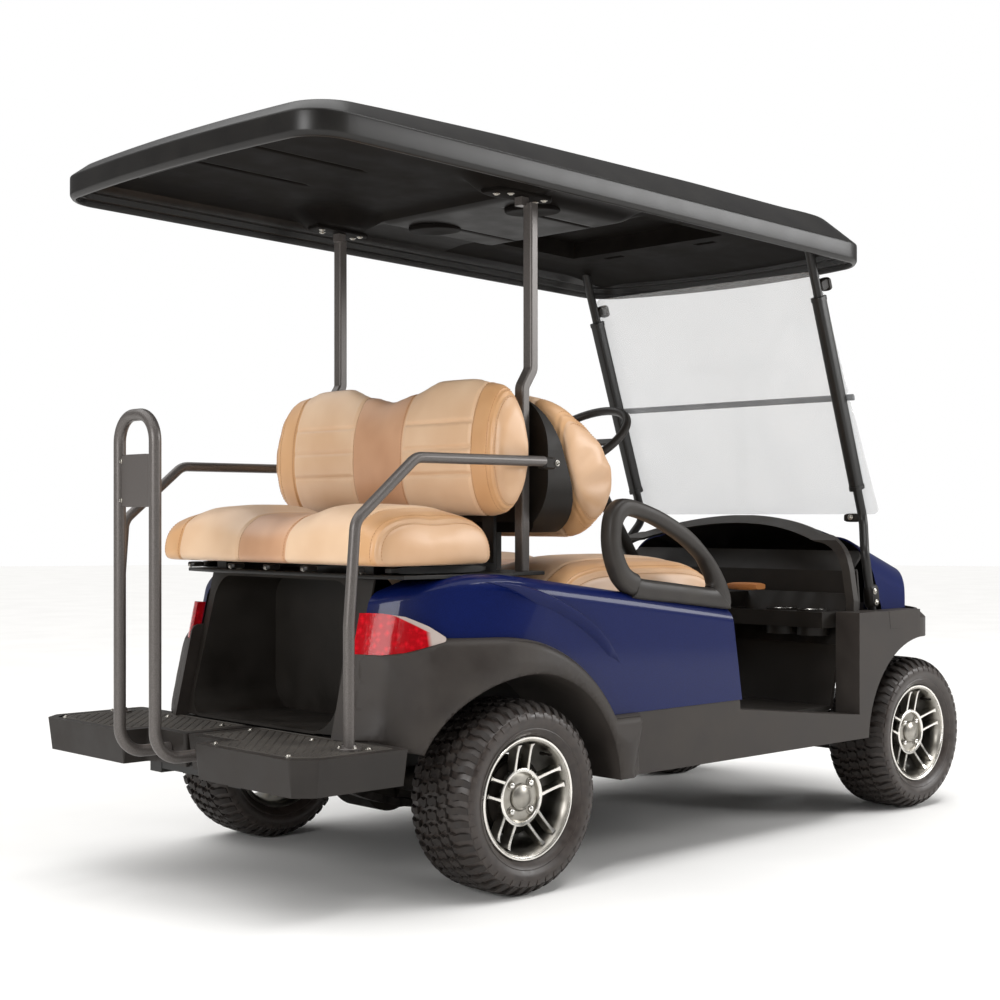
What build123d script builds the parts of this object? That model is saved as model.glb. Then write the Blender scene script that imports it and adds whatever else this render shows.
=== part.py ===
"""Four-seat golf cart with a rear-facing back seat: rigid panels, frame, seats, running gear.

Lengths are millimetres.  While it is modelled, x runs forward from the rear axle, y to the
driver's left and z up from the floor.  On export every piece is moved so that the origin is
below the middle of the whole cart.
"""

from build123d import *
import math
import os

os.makedirs("parts", exist_ok=True)

# ---------------------------------------------------------------- whole cart
WHEELBASE = 1664.0
REAR_TRACK = 964.0
FRONT_TRACK = 902.0
NOSE_X = 1944.0          # front face of the bumper
TAIL_X = -702.0          # rearmost line of the grab bar
GAP = 0.3                # seat clearance between pieces that lie on each other
SPIN_GAP = 6.0           # clearance between a turning piece and a still one

# ---------------------------------------------------------------- wheels
TYRE_R = 226.0
TYRE_W = 204.0
TYRE_SHOULDER = 26.0
BEAD_R = 128.0           # tyre bore, which sits on the rim
RIM_LIP_R = 143.0
RIM_LIP_T = 6.0
RIM_W = 170.0
RIM_WALL = 5.0
DISC_SET_IN = 34.0       # spoke face behind the outer lip
DISC_T = 16.0
HUB_R = 64.0
HUB_BORE_R = 15.0
SPOKES = 5
SPOKE_W = 9.0
SPOKE_APART = 20.5       # each spoke of a pair from the pair's centre line
SPOKE_LEAN = 2.0         # degrees each side of the pair's centre line
CAP_R = 31.0
LUG_COUNT = 4
LUG_PCD = 84.0
LUG_R = 8.5
DRUM_R = 88.0
DRUM_W = 46.0
SPINDLE_R = 14.9

# ---------------------------------------------------------------- frame and running gear
RAIL_Y = 165.0
RAIL_W = 50.0
RAIL_BOTTOM = 264.0
RAIL_H = 56.0
RAIL_REAR = -538.0
RAIL_FRONT = 1850.0
CROSS_X = (-512.0, -300.0, 300.0, 820.0, 1300.0, 1825.0)
CROSS_W = 50.0
AXLE_TUBE_R = 32.0
GEARBOX_R = 92.0
GEARBOX_W = 130.0
MOTOR_R = 80.0
MOTOR_L = 200.0
SPRING_Y = 262.0
SPRING_W = 44.0
SPRING_T = 18.0
SPRING_SPAN = 330.0
SPRING_EYE_Z = TYRE_R + AXLE_TUBE_R + 8
KINGPIN_Y = FRONT_TRACK / 2 - 105
KINGPIN_R = 13.0
KNUCKLE_H = 150.0
STEER_ARM = 92.0
TIE_R = 9.0
ARM_R = 14.0

# ---------------------------------------------------------------- body sides and fenders
PANEL_T = 6.0            # moulded panel thickness
BODY_Y = 562.0           # outside of the painted side panel
FLARE_Y = 588.0          # outside of the wheel flares
REAR_R = 400.0           # plan radius of the flare round each rear corner
REAR_CX = -7.0           # where that rounding starts, at the height RAKE_Z
REAR_RAKE = 0.23         # the body's tail leans forward by this much for each unit of rise
RAKE_Z = 376.0
ARCH_R = 288.0
ARCH_LOW_Z = 344.0
FENDER_LOW_Z = 372.6      # foot of the fender over the footrest
FENDER_STEP_X = -338.0
FLARE_Z = 600.0          # joint line between flare and painted panel
FLARE_R = 426.0
FLARE_TURN_X = -81.0
FLARE_END_Z = 394.0
FLARE_SOFT = 22.0
DECK_Z = 742.0
SHOULDER_R = 40.0
SIDE_FRONT_X = 788.0
SIDE_TOP_FRONT = (746.0, 640.0)
SIDE_TOP_TURN_X = -40.0
SIDE_TAIL_FALL = (-135.0, 650.0)   # where the top starts to fall and how low it would end
SIDE_INNER_Y = 330.0
SIDE_FLANGE_Y = 478.0    # inner line of the side panel beside the front seat
SIDE_FLANGE_X = 100.0
SEAM_X = 368.0
ROCKER_Y = 560.0
SILL_TOP_REAR = (784.0, 368.0)
SILL_TOP_FRONT = (1200.0, 322.0)
SILL_BOTTOM = 240.0
PILLAR_Y = 560.0
PILLAR_X = 1326.0
PILLAR_TOP = 600.0
FRONT_ARCH_R = 292.0
FRONT_LINER_R = 308.0
FENDER_SPLIT_X = 1640.0

BAG_Y = 318.0
BAG_BACK_Y = 246.0
BAG_BACK_X = -128.0
BAG_FLOOR_Z = 377.0
BAG_CORNER = 70.0
BAG_SET_IN = 34.0        # the tub's flange behind the outer skin of the flare
DECK_T = 9.0

FLOOR_Z = 330.0
FLOOR_T = 9.7
KICK_FOOT_X = 1300.0
KICK_TOP = (1340.0, 503.7)

POD_FRONT_X = 702.0
POD_REAR_X = 236.0
POD_WIDE_X = SEAM_X + 6
POD_TOP = 648.0

# ---------------------------------------------------------------- seats
SEAT_Y = 455.0
CUSHION_CORNER = 64.0
FRONT_CUSHION = dict(x0=236.0, x1=835.0, z0=POD_TOP + GAP, z1=752.0, edge=34.0)
REAR_CUSHION = dict(x0=-357.0, x1=10.0, z0=762.0, z1=890.0, edge=46.0)
REAR_BACK = dict(x0=10.0, x1=118.0, z0=893.0, z1=1205.0, edge=52.0)
FRONT_BACK_Z0 = 812.0
FRONT_BACK_Z1 = 1186.0
BACK_END_R = 120.0

# ---------------------------------------------------------------- tubes
POST_W = 30.0
REAR_POST_X = 187.0
REAR_POST_LOW_X = 158.0
REAR_POST_Y = 380.0
REAR_KINK_Z = 1215.0
HIP_R = 12.5
HIP_Y = 478.0
HIP_Z = 1008.0
HIP_LEG_X = -456.0
GRAB_R = 14.0
GRAB_HALF = 76.0
GRAB_TOP = 1120.0
GRAB_BEND = 62.0

# ---------------------------------------------------------------- footrest
STEP_TOP = 372.0
STEP_BOTTOM = 292.0
STEP_REAR_X = -638.0
STEP_FRONT_X = -344.0
STEP_Y = 550.0
STEP_NOTCH_Y = 150.0
STEP_NOTCH_X = -560.0
STEP_WALL = 7.0
STEP_DRAFT = 7.0         # degrees, narrower below
MAT_INSET = 22.0
MAT_DEPTH = 4.0

# ---------------------------------------------------------------- roof and windscreen
ROOF_Y = 540.0
ROOF_REAR_X = -592.0
ROOF_REAR_BOW = 30.0
ROOF_FRONT_X = 1398.0
ROOF_FRONT_BOW = 88.0    # how far the front edge bows ahead of its corners
ROOF_CORNER = 90.0
ROOF_EDGE_REAR_Z = 1674.0
ROOF_EDGE_FRONT_Z = 1602.0
ROOF_RIM = 46.0
ROOF_SIDE = 56.0         # height of the side wall below the bevel
ROOF_TAPER = 48.0        # lean of the bevel, degrees
SCREEN_T = 5.0
SCREEN_LEAN = 0.3485     # rearward run for each unit of rise
SCREEN_HINGE_Z = 1218.0
SCREEN_FOOT_Z = 876.0
SCREEN_TOP_Z = 1580.0
SCREEN_SPLIT = 14.0
STRUT_Y = 440.0
STRUT_BEND = (1520.0, 866.0)
STRUT_LOW_Y = 482.0
STRUT_LOW = (1466.0, 772.0)
STRUT_FOOT_X = 1512.0
STRUT_FOOT_Z = 550.0
STRUT_W = 34.0
STRUT_D = 40.0
GROOVE_Y = 458.0

# ---------------------------------------------------------------- front body
COWL_Y = 495.0
COWL_NOSE_X = 1878.0
COWL_CORNER_X = 1656.0
COWL_CORNER_R = 120.0
COWL_BEND_X = 1505.0
COWL_FALL = 0.10         # drop of the cowl crown for each unit forward, behind the bend
NOSE_FALL = 0.36         # and in front of it
COWL_PEAK_Z = 877.0
BUMPER_CORNER_X = 1682.0
BUMPER_CORNER_R = 150.0
BUMPER_LOW_Z = 506.0
HOOP_T = 24.0
HOOP_PROUD = 4.0
DASH_Z = 600.0
DASH_T = 46.0
DASH_REAR_X = 1270.0
DASH_BACK_X = 1420.0
CUP_R = 38.0
CUP_YS = (-400.0, -290.0, 150.0, 400.0)

# ---------------------------------------------------------------- steering
WHEEL_AT = (1010.0, 262.0, 1106.0)
WHEEL_R = 172.0
WHEEL_RING_R = 13.0
WHEEL_TILT = 36.0        # degrees between the wheel's plane and the floor
COLUMN_R = 20.0
SHAFT_R = 10.0

SHIFT_X = -(NOSE_X + TAIL_X) / 2


# ================================================================ helpers
def put(name, *solids):
    """Moves the solids into the cart's own frame and writes one node."""
    placed = [Location((SHIFT_X, 0, 0)) * s for s in solids]
    shape = placed[0] if len(placed) == 1 else Compound(children=placed)
    export_step(shape, f"parts/{name}.step")


def single(shape):
    """The one solid of a boolean result."""
    return max(shape.solids(), key=lambda s: s.volume)


def pair(shape):
    """The piece and its mirror image on the other side of the cart."""
    return [shape, mirror(shape, about=Plane.XZ)]


def across(face_xz, y0, y1):
    """A side-view face, drawn as (x, z), made solid from y0 to y1."""
    return extrude(Plane.XZ.offset(-y1) * face_xz, amount=y1 - y0)


def upward(face_xy, z0, z1):
    return extrude(Plane.XY.offset(z0) * face_xy, amount=z1 - z0)


def raked(face_xy, z0, z1):
    """A plan run upward and leaned forward with the tail of the body."""
    start = Pos((z0 - RAKE_Z) * REAR_RAKE, 0, z0) * face_xy
    return extrude(start, amount=z1 - z0, dir=(REAR_RAKE, 0, 1))


def poly(*points):
    return make_face(Polyline(*points, close=True))


def box(x0, x1, y0, y1, z0, z1):
    return Pos((x0 + x1) / 2, (y0 + y1) / 2, (z0 + z1) / 2) * Box(x1 - x0, y1 - y0, z1 - z0)


def round_tube(points, radius, bend):
    """A round tube through the points, with every corner bent to one radius."""
    path = FilletPolyline(*points, radius=bend)
    start = Plane(origin=path @ 0, z_dir=path % 0)
    return sweep(start * Circle(radius), path=path)


def square_tube(points, wide, deep, bend):
    """A tube of rounded rectangular section, wide across the cart."""
    path = FilletPolyline(*points, radius=bend)
    start = Plane(origin=path @ 0, x_dir=(0, 1, 0), z_dir=path % 0)
    return sweep(start * RectangleRounded(wide, deep, min(wide, deep) * 0.2), path=path)


def rod(p, q, radius):
    line = Line(p, q)
    return extrude(Plane(origin=p, z_dir=line % 0) * Circle(radius), amount=line.length)


def disc(x, y0, y1, z, radius):
    """A disc or shaft about a line along y."""
    return Pos(x, (y0 + y1) / 2, z) * Rot(90, 0, 0) * Cylinder(radius, abs(y1 - y0))


def turned(outline):
    """Turns an outline of (radius, y) about the y axis."""
    face = make_face(Polyline(*[(r, 0, y) for r, y in outline], close=True))
    return Rot(-90, 0, 0) * revolve(face, axis=Axis.Z)


def cushion(x0, x1, z0, z1, edge):
    """A seat block: rounded corners in plan and a softened top edge."""
    plan = Pos((x0 + x1) / 2, 0) * RectangleRounded(x1 - x0, 2 * SEAT_Y, CUSHION_CORNER)
    block = upward(plan, z0, z1)
    return fillet(block.edges().group_by(Axis.Z)[-1], edge)


# ================================================================ wheels
def tyre():
    half = TYRE_W / 2
    tread = half - TYRE_SHOULDER
    right = [
        (BEAD_R + GAP, RIM_W / 2 - 16.5), (RIM_LIP_R + GAP, RIM_W / 2 - RIM_LIP_T - 0.5),
        (RIM_LIP_R + 6, half * 0.87), (TYRE_R * 0.80, half),
        (TYRE_R - 24, half * 0.96), (TYRE_R - 6, tread), (TYRE_R, tread * 0.7),
    ]
    return turned(right + [(r, -y) for r, y in reversed(right)])


def rim(side):
    """Barrel, five splayed spoke pairs, hub and drum; side is +1 when the face looks to +y."""
    half = RIM_W / 2
    wheel = turned([
        (BEAD_R - RIM_WALL, -half), (RIM_LIP_R - 6, -half), (RIM_LIP_R - 6, -half + RIM_LIP_T),
        (BEAD_R, -half + 16), (BEAD_R, half - 16),
        (RIM_LIP_R, half - RIM_LIP_T), (RIM_LIP_R, half), (BEAD_R - RIM_WALL, half - 8),
    ])
    face_y = half - DISC_SET_IN
    wheel += disc(0, face_y - DISC_T / 2, face_y + DISC_T / 2, 0, HUB_R)
    reach = BEAD_R - 6
    start = HUB_R - 14
    for k in range(SPOKES):
        for lean in (-1, 1):
            arm = Pos(lean * SPOKE_APART, face_y, (start + reach) / 2)
            arm = arm * Rot(0, lean * SPOKE_LEAN, 0) * Box(SPOKE_W, DISC_T, reach - start + 6)
            wheel += Rot(0, k * 360 / SPOKES, 0) * arm
    drum_out = face_y - DISC_T / 2
    wheel += disc(0, drum_out - DRUM_W, drum_out, 0, DRUM_R)
    for k in range(LUG_COUNT):
        a = math.radians(45 + k * 360 / LUG_COUNT)
        at = Pos(LUG_PCD / 2 * math.cos(a), face_y + DISC_T / 2 + 4, LUG_PCD / 2 * math.sin(a))
        wheel += at * Rot(90, 0, 0) * extrude(RegularPolygon(LUG_R, 6), amount=6, both=True)
    wheel -= disc(0, drum_out - DRUM_W - 5, face_y + DISC_T / 2 - 2, 0, HUB_BORE_R)
    wheel += disc(0, face_y + DISC_T / 2 - 1, face_y + DISC_T / 2 + 12, 0, CAP_R)
    wheel = single(wheel & Rot(90, 0, 0) * Cylinder(RIM_LIP_R + 1, RIM_W + 40))
    return wheel if side > 0 else mirror(wheel, about=Plane.XZ)


DRUM_BACK = RIM_W / 2 - DISC_SET_IN - DISC_T / 2 - DRUM_W      # from the wheel's middle plane
STUB_END = RIM_W / 2 - DISC_SET_IN + DISC_T / 2 - 5


def wheels():
    places = [
        ("front_right", WHEELBASE, FRONT_TRACK, -1), ("front_left", WHEELBASE, FRONT_TRACK, 1),
        ("rear_right", 0.0, REAR_TRACK, -1), ("rear_left", 0.0, REAR_TRACK, 1),
    ]
    for name, x, track, side in places:
        at = Pos(x, side * track / 2, TYRE_R)
        put(f"tyre_{name}", at * tyre())
        put(f"rim_{name}", at * rim(side))


# ================================================================ frame and running gear
def chassis_frame():
    frame = None
    for s in (-1, 1):
        rail = box(RAIL_REAR, RAIL_FRONT, s * RAIL_Y - RAIL_W / 2, s * RAIL_Y + RAIL_W / 2,
                   RAIL_BOTTOM, RAIL_BOTTOM + RAIL_H)
        frame = rail if frame is None else frame + rail
    for x in CROSS_X:
        frame += box(x - CROSS_W / 2, x + CROSS_W / 2, -RAIL_Y, RAIL_Y,
                     RAIL_BOTTOM + 10, RAIL_BOTTOM + RAIL_H - 10)
    for s in (-1, 1):                                   # spring hangers
        y0, y1 = sorted((s * (RAIL_Y + RAIL_W / 2 - 4), s * (SPRING_Y + SPRING_W / 2)))
        for x in (-SPRING_SPAN + 16, SPRING_SPAN - 16):
            frame += box(x - 16, x + 16, y0, y1, SPRING_EYE_Z + 20, RAIL_BOTTOM + RAIL_H - 10)
    return single(frame)


def rear_axle():
    """Axle tubes, gearbox, brake plates and the drive motor, with a stub for each wheel."""
    mid = REAR_TRACK / 2
    plate_y = mid + DRUM_BACK - SPIN_GAP
    axle = disc(0, -plate_y, plate_y, TYRE_R, AXLE_TUBE_R)
    axle += disc(0, -GEARBOX_W / 2, GEARBOX_W / 2, TYRE_R, GEARBOX_R)
    for s in (-1, 1):
        axle += disc(0, s * (plate_y - 10), s * plate_y, TYRE_R, DRUM_R + 6)
    axle += disc(0, -mid - STUB_END, mid + STUB_END, TYRE_R, SPINDLE_R)
    axle += Pos(MOTOR_L / 2 + 20, 0, TYRE_R - 20) * Rot(0, 90, 0) * Cylinder(MOTOR_R, MOTOR_L)
    return single(axle)


def leaf_spring():
    """A bowed leaf pack that passes under the axle tube."""
    low = TYRE_R - AXLE_TUBE_R - SPRING_T / 2 - GAP
    bow = ThreePointArc((-SPRING_SPAN, SPRING_EYE_Z), (0, low), (SPRING_SPAN, SPRING_EYE_Z))
    pack = across(trace(bow, SPRING_T), SPRING_Y - SPRING_W / 2, SPRING_Y + SPRING_W / 2)
    for x in (-SPRING_SPAN + 16, SPRING_SPAN - 16):
        pack += box(x - 12, x + 12, SPRING_Y - SPRING_W / 2, SPRING_Y + SPRING_W / 2,
                    SPRING_EYE_Z - 14, SPRING_EYE_Z + 20 - GAP)
    return single(pack)


def front_axle():
    """Cross member, wishbones and the kingpins."""
    low = TYRE_R - KNUCKLE_H / 2 - ARM_R - 3
    high = TYRE_R + KNUCKLE_H / 2 + ARM_R + 3
    beam = box(WHEELBASE - 40, WHEELBASE + 40, -RAIL_Y - RAIL_W / 2, RAIL_Y + RAIL_W / 2,
               RAIL_BOTTOM - 70, RAIL_BOTTOM - GAP)
    for s in (-1, 1):
        root = s * (RAIL_Y + 12)
        for dx in (-30, 30):
            beam += rod((WHEELBASE + dx, root, RAIL_BOTTOM - 50), (WHEELBASE, s * KINGPIN_Y, low), ARM_R)
        beam += rod((WHEELBASE, root, RAIL_BOTTOM - 34), (WHEELBASE, s * KINGPIN_Y, high), ARM_R)
        beam += Pos(WHEELBASE, s * KINGPIN_Y, TYRE_R) * Cylinder(KINGPIN_R, high - low + 10)
    return single(beam)


def knuckle(side):
    """Turns about the kingpin and carries the front wheel's stub."""
    mid = FRONT_TRACK / 2
    plate_y = mid + DRUM_BACK - SPIN_GAP
    z = TYRE_R
    body = Pos(WHEELBASE, KINGPIN_Y, z) * Cylinder(KINGPIN_R + 12, KNUCKLE_H - 36)
    body += disc(WHEELBASE, KINGPIN_Y, mid + STUB_END, z, SPINDLE_R)
    body += disc(WHEELBASE, plate_y - 8, plate_y, z, DRUM_R - 14)
    body += disc(WHEELBASE, KINGPIN_Y + 4, plate_y, z, 26)
    body += box(WHEELBASE - STEER_ARM - 12, WHEELBASE, KINGPIN_Y - 12, KINGPIN_Y + 12, z - 46, z - 34)
    body -= Pos(WHEELBASE, KINGPIN_Y, z) * Cylinder(KINGPIN_R + 0.1, KNUCKLE_H + 4)
    body = single(body)
    return body if side > 0 else mirror(body, about=Plane.XZ)


def tie_rod():
    """Bar between the two knuckle arms."""
    x = WHEELBASE - STEER_ARM
    z = TYRE_R - 46 - TIE_R - GAP
    return rod((x, -KINGPIN_Y - 8, z), (x, KINGPIN_Y + 8, z), TIE_R)


# ================================================================ rear body
def rear_plan(half_y, inset, front_x):
    """Plan of one side of the body: straight flank, then a wide round to the middle."""
    r = REAR_R - inset
    face = poly((REAR_CX - r, 0), (front_x, 0), (front_x, half_y), (REAR_CX - r, half_y))
    corner = [v for v in face.vertices() if v.X < REAR_CX - r + 1 and v.Y > half_y - 1]
    return fillet(corner, r - 0.5)


def flare_arc(w):
    """Joint line of the flare, moved w inward: end point, a point half way, start point."""
    cz = FLARE_Z - FLARE_R
    r = FLARE_R - w
    end_z = FLARE_END_Z - w
    end_x = FLARE_TURN_X + math.sqrt(r**2 - (end_z - cz) ** 2)
    m = (math.pi / 2 + math.atan2(end_z - cz, end_x - FLARE_TURN_X)) / 2
    middle = (FLARE_TURN_X + r * math.cos(m), cz + r * math.sin(m))
    return (end_x, end_z), middle, (FLARE_TURN_X, FLARE_Z - w)


def fender_face(w):
    """Side view of the rear flare, shrunk by w all round."""
    end, middle, turn = flare_arc(w)
    ar = ARCH_R + w
    low_rear = ARCH_LOW_Z + w
    foot = FENDER_LOW_Z + w
    low_front = SILL_BOTTOM + w
    back = REAR_CX - REAR_R + w - 20
    rx = -math.sqrt(ar**2 - (low_rear - TYRE_R) ** 2)
    fx = math.sqrt(ar**2 - (low_front - TYRE_R) ** 2)
    edge = [
        Line((SEAM_X - w, low_front), (SEAM_X - w, end[1])),
        Line((SEAM_X - w, end[1]), end),
        ThreePointArc(end, middle, turn),
        Line(turn, (back, turn[1])),
        Line((back, turn[1]), (back, foot)),
        Line((back, foot), (FENDER_STEP_X + w, foot)),
        Line((FENDER_STEP_X + w, foot), (rx, low_rear)),
        ThreePointArc((rx, low_rear), (0, TYRE_R + ar), (fx, low_front)),
        Line((fx, low_front), (SEAM_X - w, low_front)),
    ]
    return make_face(Wire(edge))


def rear_fender():
    """Wheel flare with its liner, closed behind and open only toward the wheel."""
    y0 = BAG_Y + 3
    outer = across(fender_face(0), y0, FLARE_Y) & raked(rear_plan(FLARE_Y, 0, SEAM_X), 200, 700)
    soft = [e for e in outer.edges() if (e @ 0.5).Y > y0 + 20 and (e @ 0.5).Z > FLARE_END_Z - 1
            and (e @ 0.5).X < SEAM_X - 1 and ((e @ 0.5).Z > 500 or abs((e % 0.5).Y) < 0.01)
            and (Vector(e @ 0.5) - Vector(0, (e @ 0.5).Y, TYRE_R)).length > ARCH_R + 8]
    outer = fillet(soft, FLARE_SOFT)
    plan_in = rear_plan(FLARE_Y - PANEL_T, PANEL_T, SEAM_X)
    inner = across(fender_face(PANEL_T), y0 + PANEL_T, FLARE_Y - PANEL_T) & raked(plan_in, 200, 700)
    return single(outer - inner)


def side_face(w, v):
    """Side view of the painted panel, shrunk by w at the top and front and moved v at its foot."""
    end, middle, turn = flare_arc(0)
    back = REAR_CX - REAR_R - 20 + w
    top_turn = (SIDE_TOP_TURN_X, DECK_Z - w)
    fall_x, fall_z = SIDE_TAIL_FALL
    top_front = (SIDE_TOP_FRONT[0] - w, SIDE_TOP_FRONT[1] - w)
    edge = [
        Line((SIDE_FRONT_X - w, end[1] + v), (end[0], end[1] + v)),
        ThreePointArc((end[0], end[1] + v), (middle[0], middle[1] + v), (turn[0], turn[1] + v)),
        Line((turn[0], turn[1] + v), (back, turn[1] + v)),
        Line((back, turn[1] + v), (back, fall_z - w)),
        Line((back, fall_z - w), (fall_x, DECK_Z - w)),
        Line((fall_x, DECK_Z - w), top_turn),
        Line(top_turn, top_front),
        Line(top_front, (SIDE_FRONT_X - w, end[1] + v)),
    ]
    face = make_face(Wire(edge))
    bend = [p for p in face.vertices() if abs(p.X - top_turn[0]) < 1 or abs(p.X - fall_x) < 1]
    return fillet(bend, 300)


def body_side_block(w, v):
    plan = rear_plan(BODY_Y - w, FLARE_Y - BODY_Y + w, SIDE_FRONT_X + 10)
    block = across(side_face(w, v), SIDE_INNER_Y - w, BODY_Y - w) & raked(plan, 200, 800)
    top = [e for e in block.edges() if (e @ 0.5).Y > SIDE_INNER_Y + 6
           and (e @ 0.5).Z > DECK_Z - w - 112
           and abs((e % 0.5).Z) < 0.5 and (e @ 0.5).X < SIDE_TOP_FRONT[0] - 30]
    return fillet(top, SHOULDER_R - w)


def body_side():
    """Painted side panel with its rolled shoulder, open toward the middle of the cart."""
    shell = body_side_block(0, GAP) - body_side_block(PANEL_T, -30)
    shell -= box(SIDE_FLANGE_X, SIDE_FRONT_X + 20, 300, SIDE_FLANGE_Y, 300, 800)
    return single(shell)


def tail_hull(inset, z0, z1):
    """The raked tail of the body on both sides, as a solid reaching forward under the seats."""
    half = raked(rear_plan(BODY_Y, inset, POD_REAR_X - GAP), z0, z1)
    return half + mirror(half, about=Plane.XZ)


def bagwell():
    """Tapered open-backed tub between the rear wheels, with a flange that closes its corners."""
    top = DECK_Z - DECK_T

    def tub(w, grow):
        rear_x = REAR_CX - REAR_R - 20 - grow
        rear = Plane.YZ.offset(rear_x)
        front = Plane.YZ.offset(BAG_BACK_X - w)
        mid_z = (BAG_FLOOR_Z + top) / 2
        tall = top - BAG_FLOOR_Z - 2 * w
        big = Pos(0, mid_z) * RectangleRounded(2 * (BAG_Y - w), tall, BAG_CORNER - w)
        small = Pos(0, mid_z) * RectangleRounded(2 * (BAG_BACK_Y - w), tall, BAG_CORNER - w)
        return loft([rear * big, front * small])

    hull = tail_hull(BAG_SET_IN, 200, 900)
    shell = (tub(0, 0) - tub(PANEL_T, 2)) & hull
    flange = box(-500, -200, -BAG_Y, BAG_Y, BAG_FLOOR_Z + 2, top - 2)
    flange += box(-500, -200, -SIDE_INNER_Y + GAP, SIDE_INNER_Y - GAP, FLARE_Z + GAP, top)
    flange = (flange & hull) - tail_hull(BAG_SET_IN + 8, 200, 900) - tub(PANEL_T, 2)
    return single(shell + flange)


def seat_deck():
    """Flat panel under the rear seat, wider where the roof posts stand on it."""
    low = DECK_Z - DECK_T + GAP
    deck = box(-500, SIDE_FLANGE_X, -SIDE_INNER_Y + GAP, SIDE_INNER_Y - GAP, low, DECK_Z)
    half = SIDE_FLANGE_Y - GAP
    deck += box(SIDE_FLANGE_X + GAP, POD_REAR_X - GAP, -half, half, low, DECK_Z)
    deck += box(SIDE_FLANGE_X - 1, SIDE_FLANGE_X + 1, -SIDE_INNER_Y + GAP, SIDE_INNER_Y - GAP, low, DECK_Z)
    return single(deck & (tail_hull(BAG_SET_IN, 200, 900) + box(0, POD_REAR_X, -half, half, 700, 800)))


def seat_pod():
    """Hollow base of the front seat, which covers the batteries."""
    def block(w):
        wide = box(POD_WIDE_X + w, POD_FRONT_X - w, -474 + w, 474 - w, FLOOR_Z + GAP - w, POD_TOP - w)
        narrow = box(POD_REAR_X + w, POD_WIDE_X + w + 1, -BAG_Y + w, BAG_Y - w, FLOOR_Z + GAP - w, POD_TOP - w)
        return wide + narrow
    return single(block(0) - block(8))


def floor_pan():
    """Floor with the kick wall at its front edge."""
    low = FLOOR_Z - FLOOR_T
    t = FLOOR_T
    face = poly((POD_WIDE_X, low), (KICK_FOOT_X + t, low), (KICK_TOP[0] + t, KICK_TOP[1]),
                KICK_TOP, (KICK_FOOT_X, FLOOR_Z), (POD_WIDE_X, FLOOR_Z))
    pan = across(face, -SIDE_FLANGE_Y + GAP, SIDE_FLANGE_Y - GAP)
    pan += box(POD_REAR_X, POD_WIDE_X + 1, -BAG_Y, BAG_Y, low, FLOOR_Z)
    return single(pan)


def front_arch_point(z, r):
    return WHEELBASE - math.sqrt(r**2 - (z - TYRE_R) ** 2)


def rocker_face(w):
    """Side view of sill and front pillar, shrunk by w all round."""
    r = FRONT_ARCH_R + w
    low = SILL_BOTTOM + w
    split = FENDER_SPLIT_X - w
    arch_top = TYRE_R + math.sqrt(r**2 - (WHEELBASE - split) ** 2)
    a0 = math.atan2(low - TYRE_R, -(WHEELBASE - front_arch_point(low, r)))
    a1 = math.atan2(arch_top - TYRE_R, split - WHEELBASE)
    m = (a0 + a1) / 2
    top = FLARE_END_Z - GAP - w
    edge = [
        Line((SEAM_X + GAP + w, low), (front_arch_point(low, r), low)),
        ThreePointArc((front_arch_point(low, r), low),
                      (WHEELBASE + r * math.cos(m), TYRE_R + r * math.sin(m)), (split, arch_top)),
        Line((split, arch_top), (split, PILLAR_TOP - w)),
        Line((split, PILLAR_TOP - w), (PILLAR_X + w, PILLAR_TOP - w)),
        Line((PILLAR_X + w, PILLAR_TOP - w), (PILLAR_X + w, SILL_TOP_FRONT[1] - 12 - w)),
        Line((PILLAR_X + w, SILL_TOP_FRONT[1] - 12 - w), (SILL_TOP_FRONT[0], SILL_TOP_FRONT[1] - w)),
        Line((SILL_TOP_FRONT[0], SILL_TOP_FRONT[1] - w), (SILL_TOP_REAR[0] - w, SILL_TOP_REAR[1] - w)),
        Line((SILL_TOP_REAR[0] - w, SILL_TOP_REAR[1] - w), (SILL_TOP_REAR[0] - 3 - w, top)),
        Line((SILL_TOP_REAR[0] - 3 - w, top), (SEAM_X + GAP + w, top)),
        Line((SEAM_X + GAP + w, top), (SEAM_X + GAP + w, low)),
    ]
    face = make_face(Wire(edge))
    return face


def front_plan(half_y, corner_x, nose_x, corner_r):
    """Plan of the front end: straight flanks, rounded corners and a bowed front."""
    edge = [
        Line((600, -half_y), (corner_x, -half_y)),
        ThreePointArc((corner_x, -half_y), (nose_x, 0), (corner_x, half_y)),
        Line((corner_x, half_y), (600, half_y)),
        Line((600, half_y), (600, -half_y)),
    ]
    face = make_face(Wire(edge))
    return fillet([v for v in face.vertices() if v.X > 700], corner_r)


def rocker_panel():
    """Sill and front pillar in one moulding, open toward the middle of the cart."""
    t = PANEL_T + 1
    outer = across(rocker_face(0), SIDE_FLANGE_Y, ROCKER_Y)
    outer = outer & (upward(front_plan(PILLAR_Y, BUMPER_CORNER_X, NOSE_X, BUMPER_CORNER_R), 200, 700)
                     + box(300, 1150, 0, ROCKER_Y, 200, 700))
    inner = across(rocker_face(t), SIDE_FLANGE_Y - 5, PILLAR_Y - t)
    inner = inner & upward(front_plan(PILLAR_Y - t, BUMPER_CORNER_X - t, NOSE_X - t,
                                      BUMPER_CORNER_R - t), 200, 700)
    shell = outer - inner
    shell -= disc(WHEELBASE, 300, PILLAR_Y - t - 4, TYRE_R, FRONT_LINER_R)
    shell -= strut_groove(0)
    shell += box(1470, 1550, SIDE_FLANGE_Y - 18, PILLAR_Y - 3, STRUT_FOOT_Z - 8, STRUT_FOOT_Z - GAP)
    return single(shell)


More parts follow.
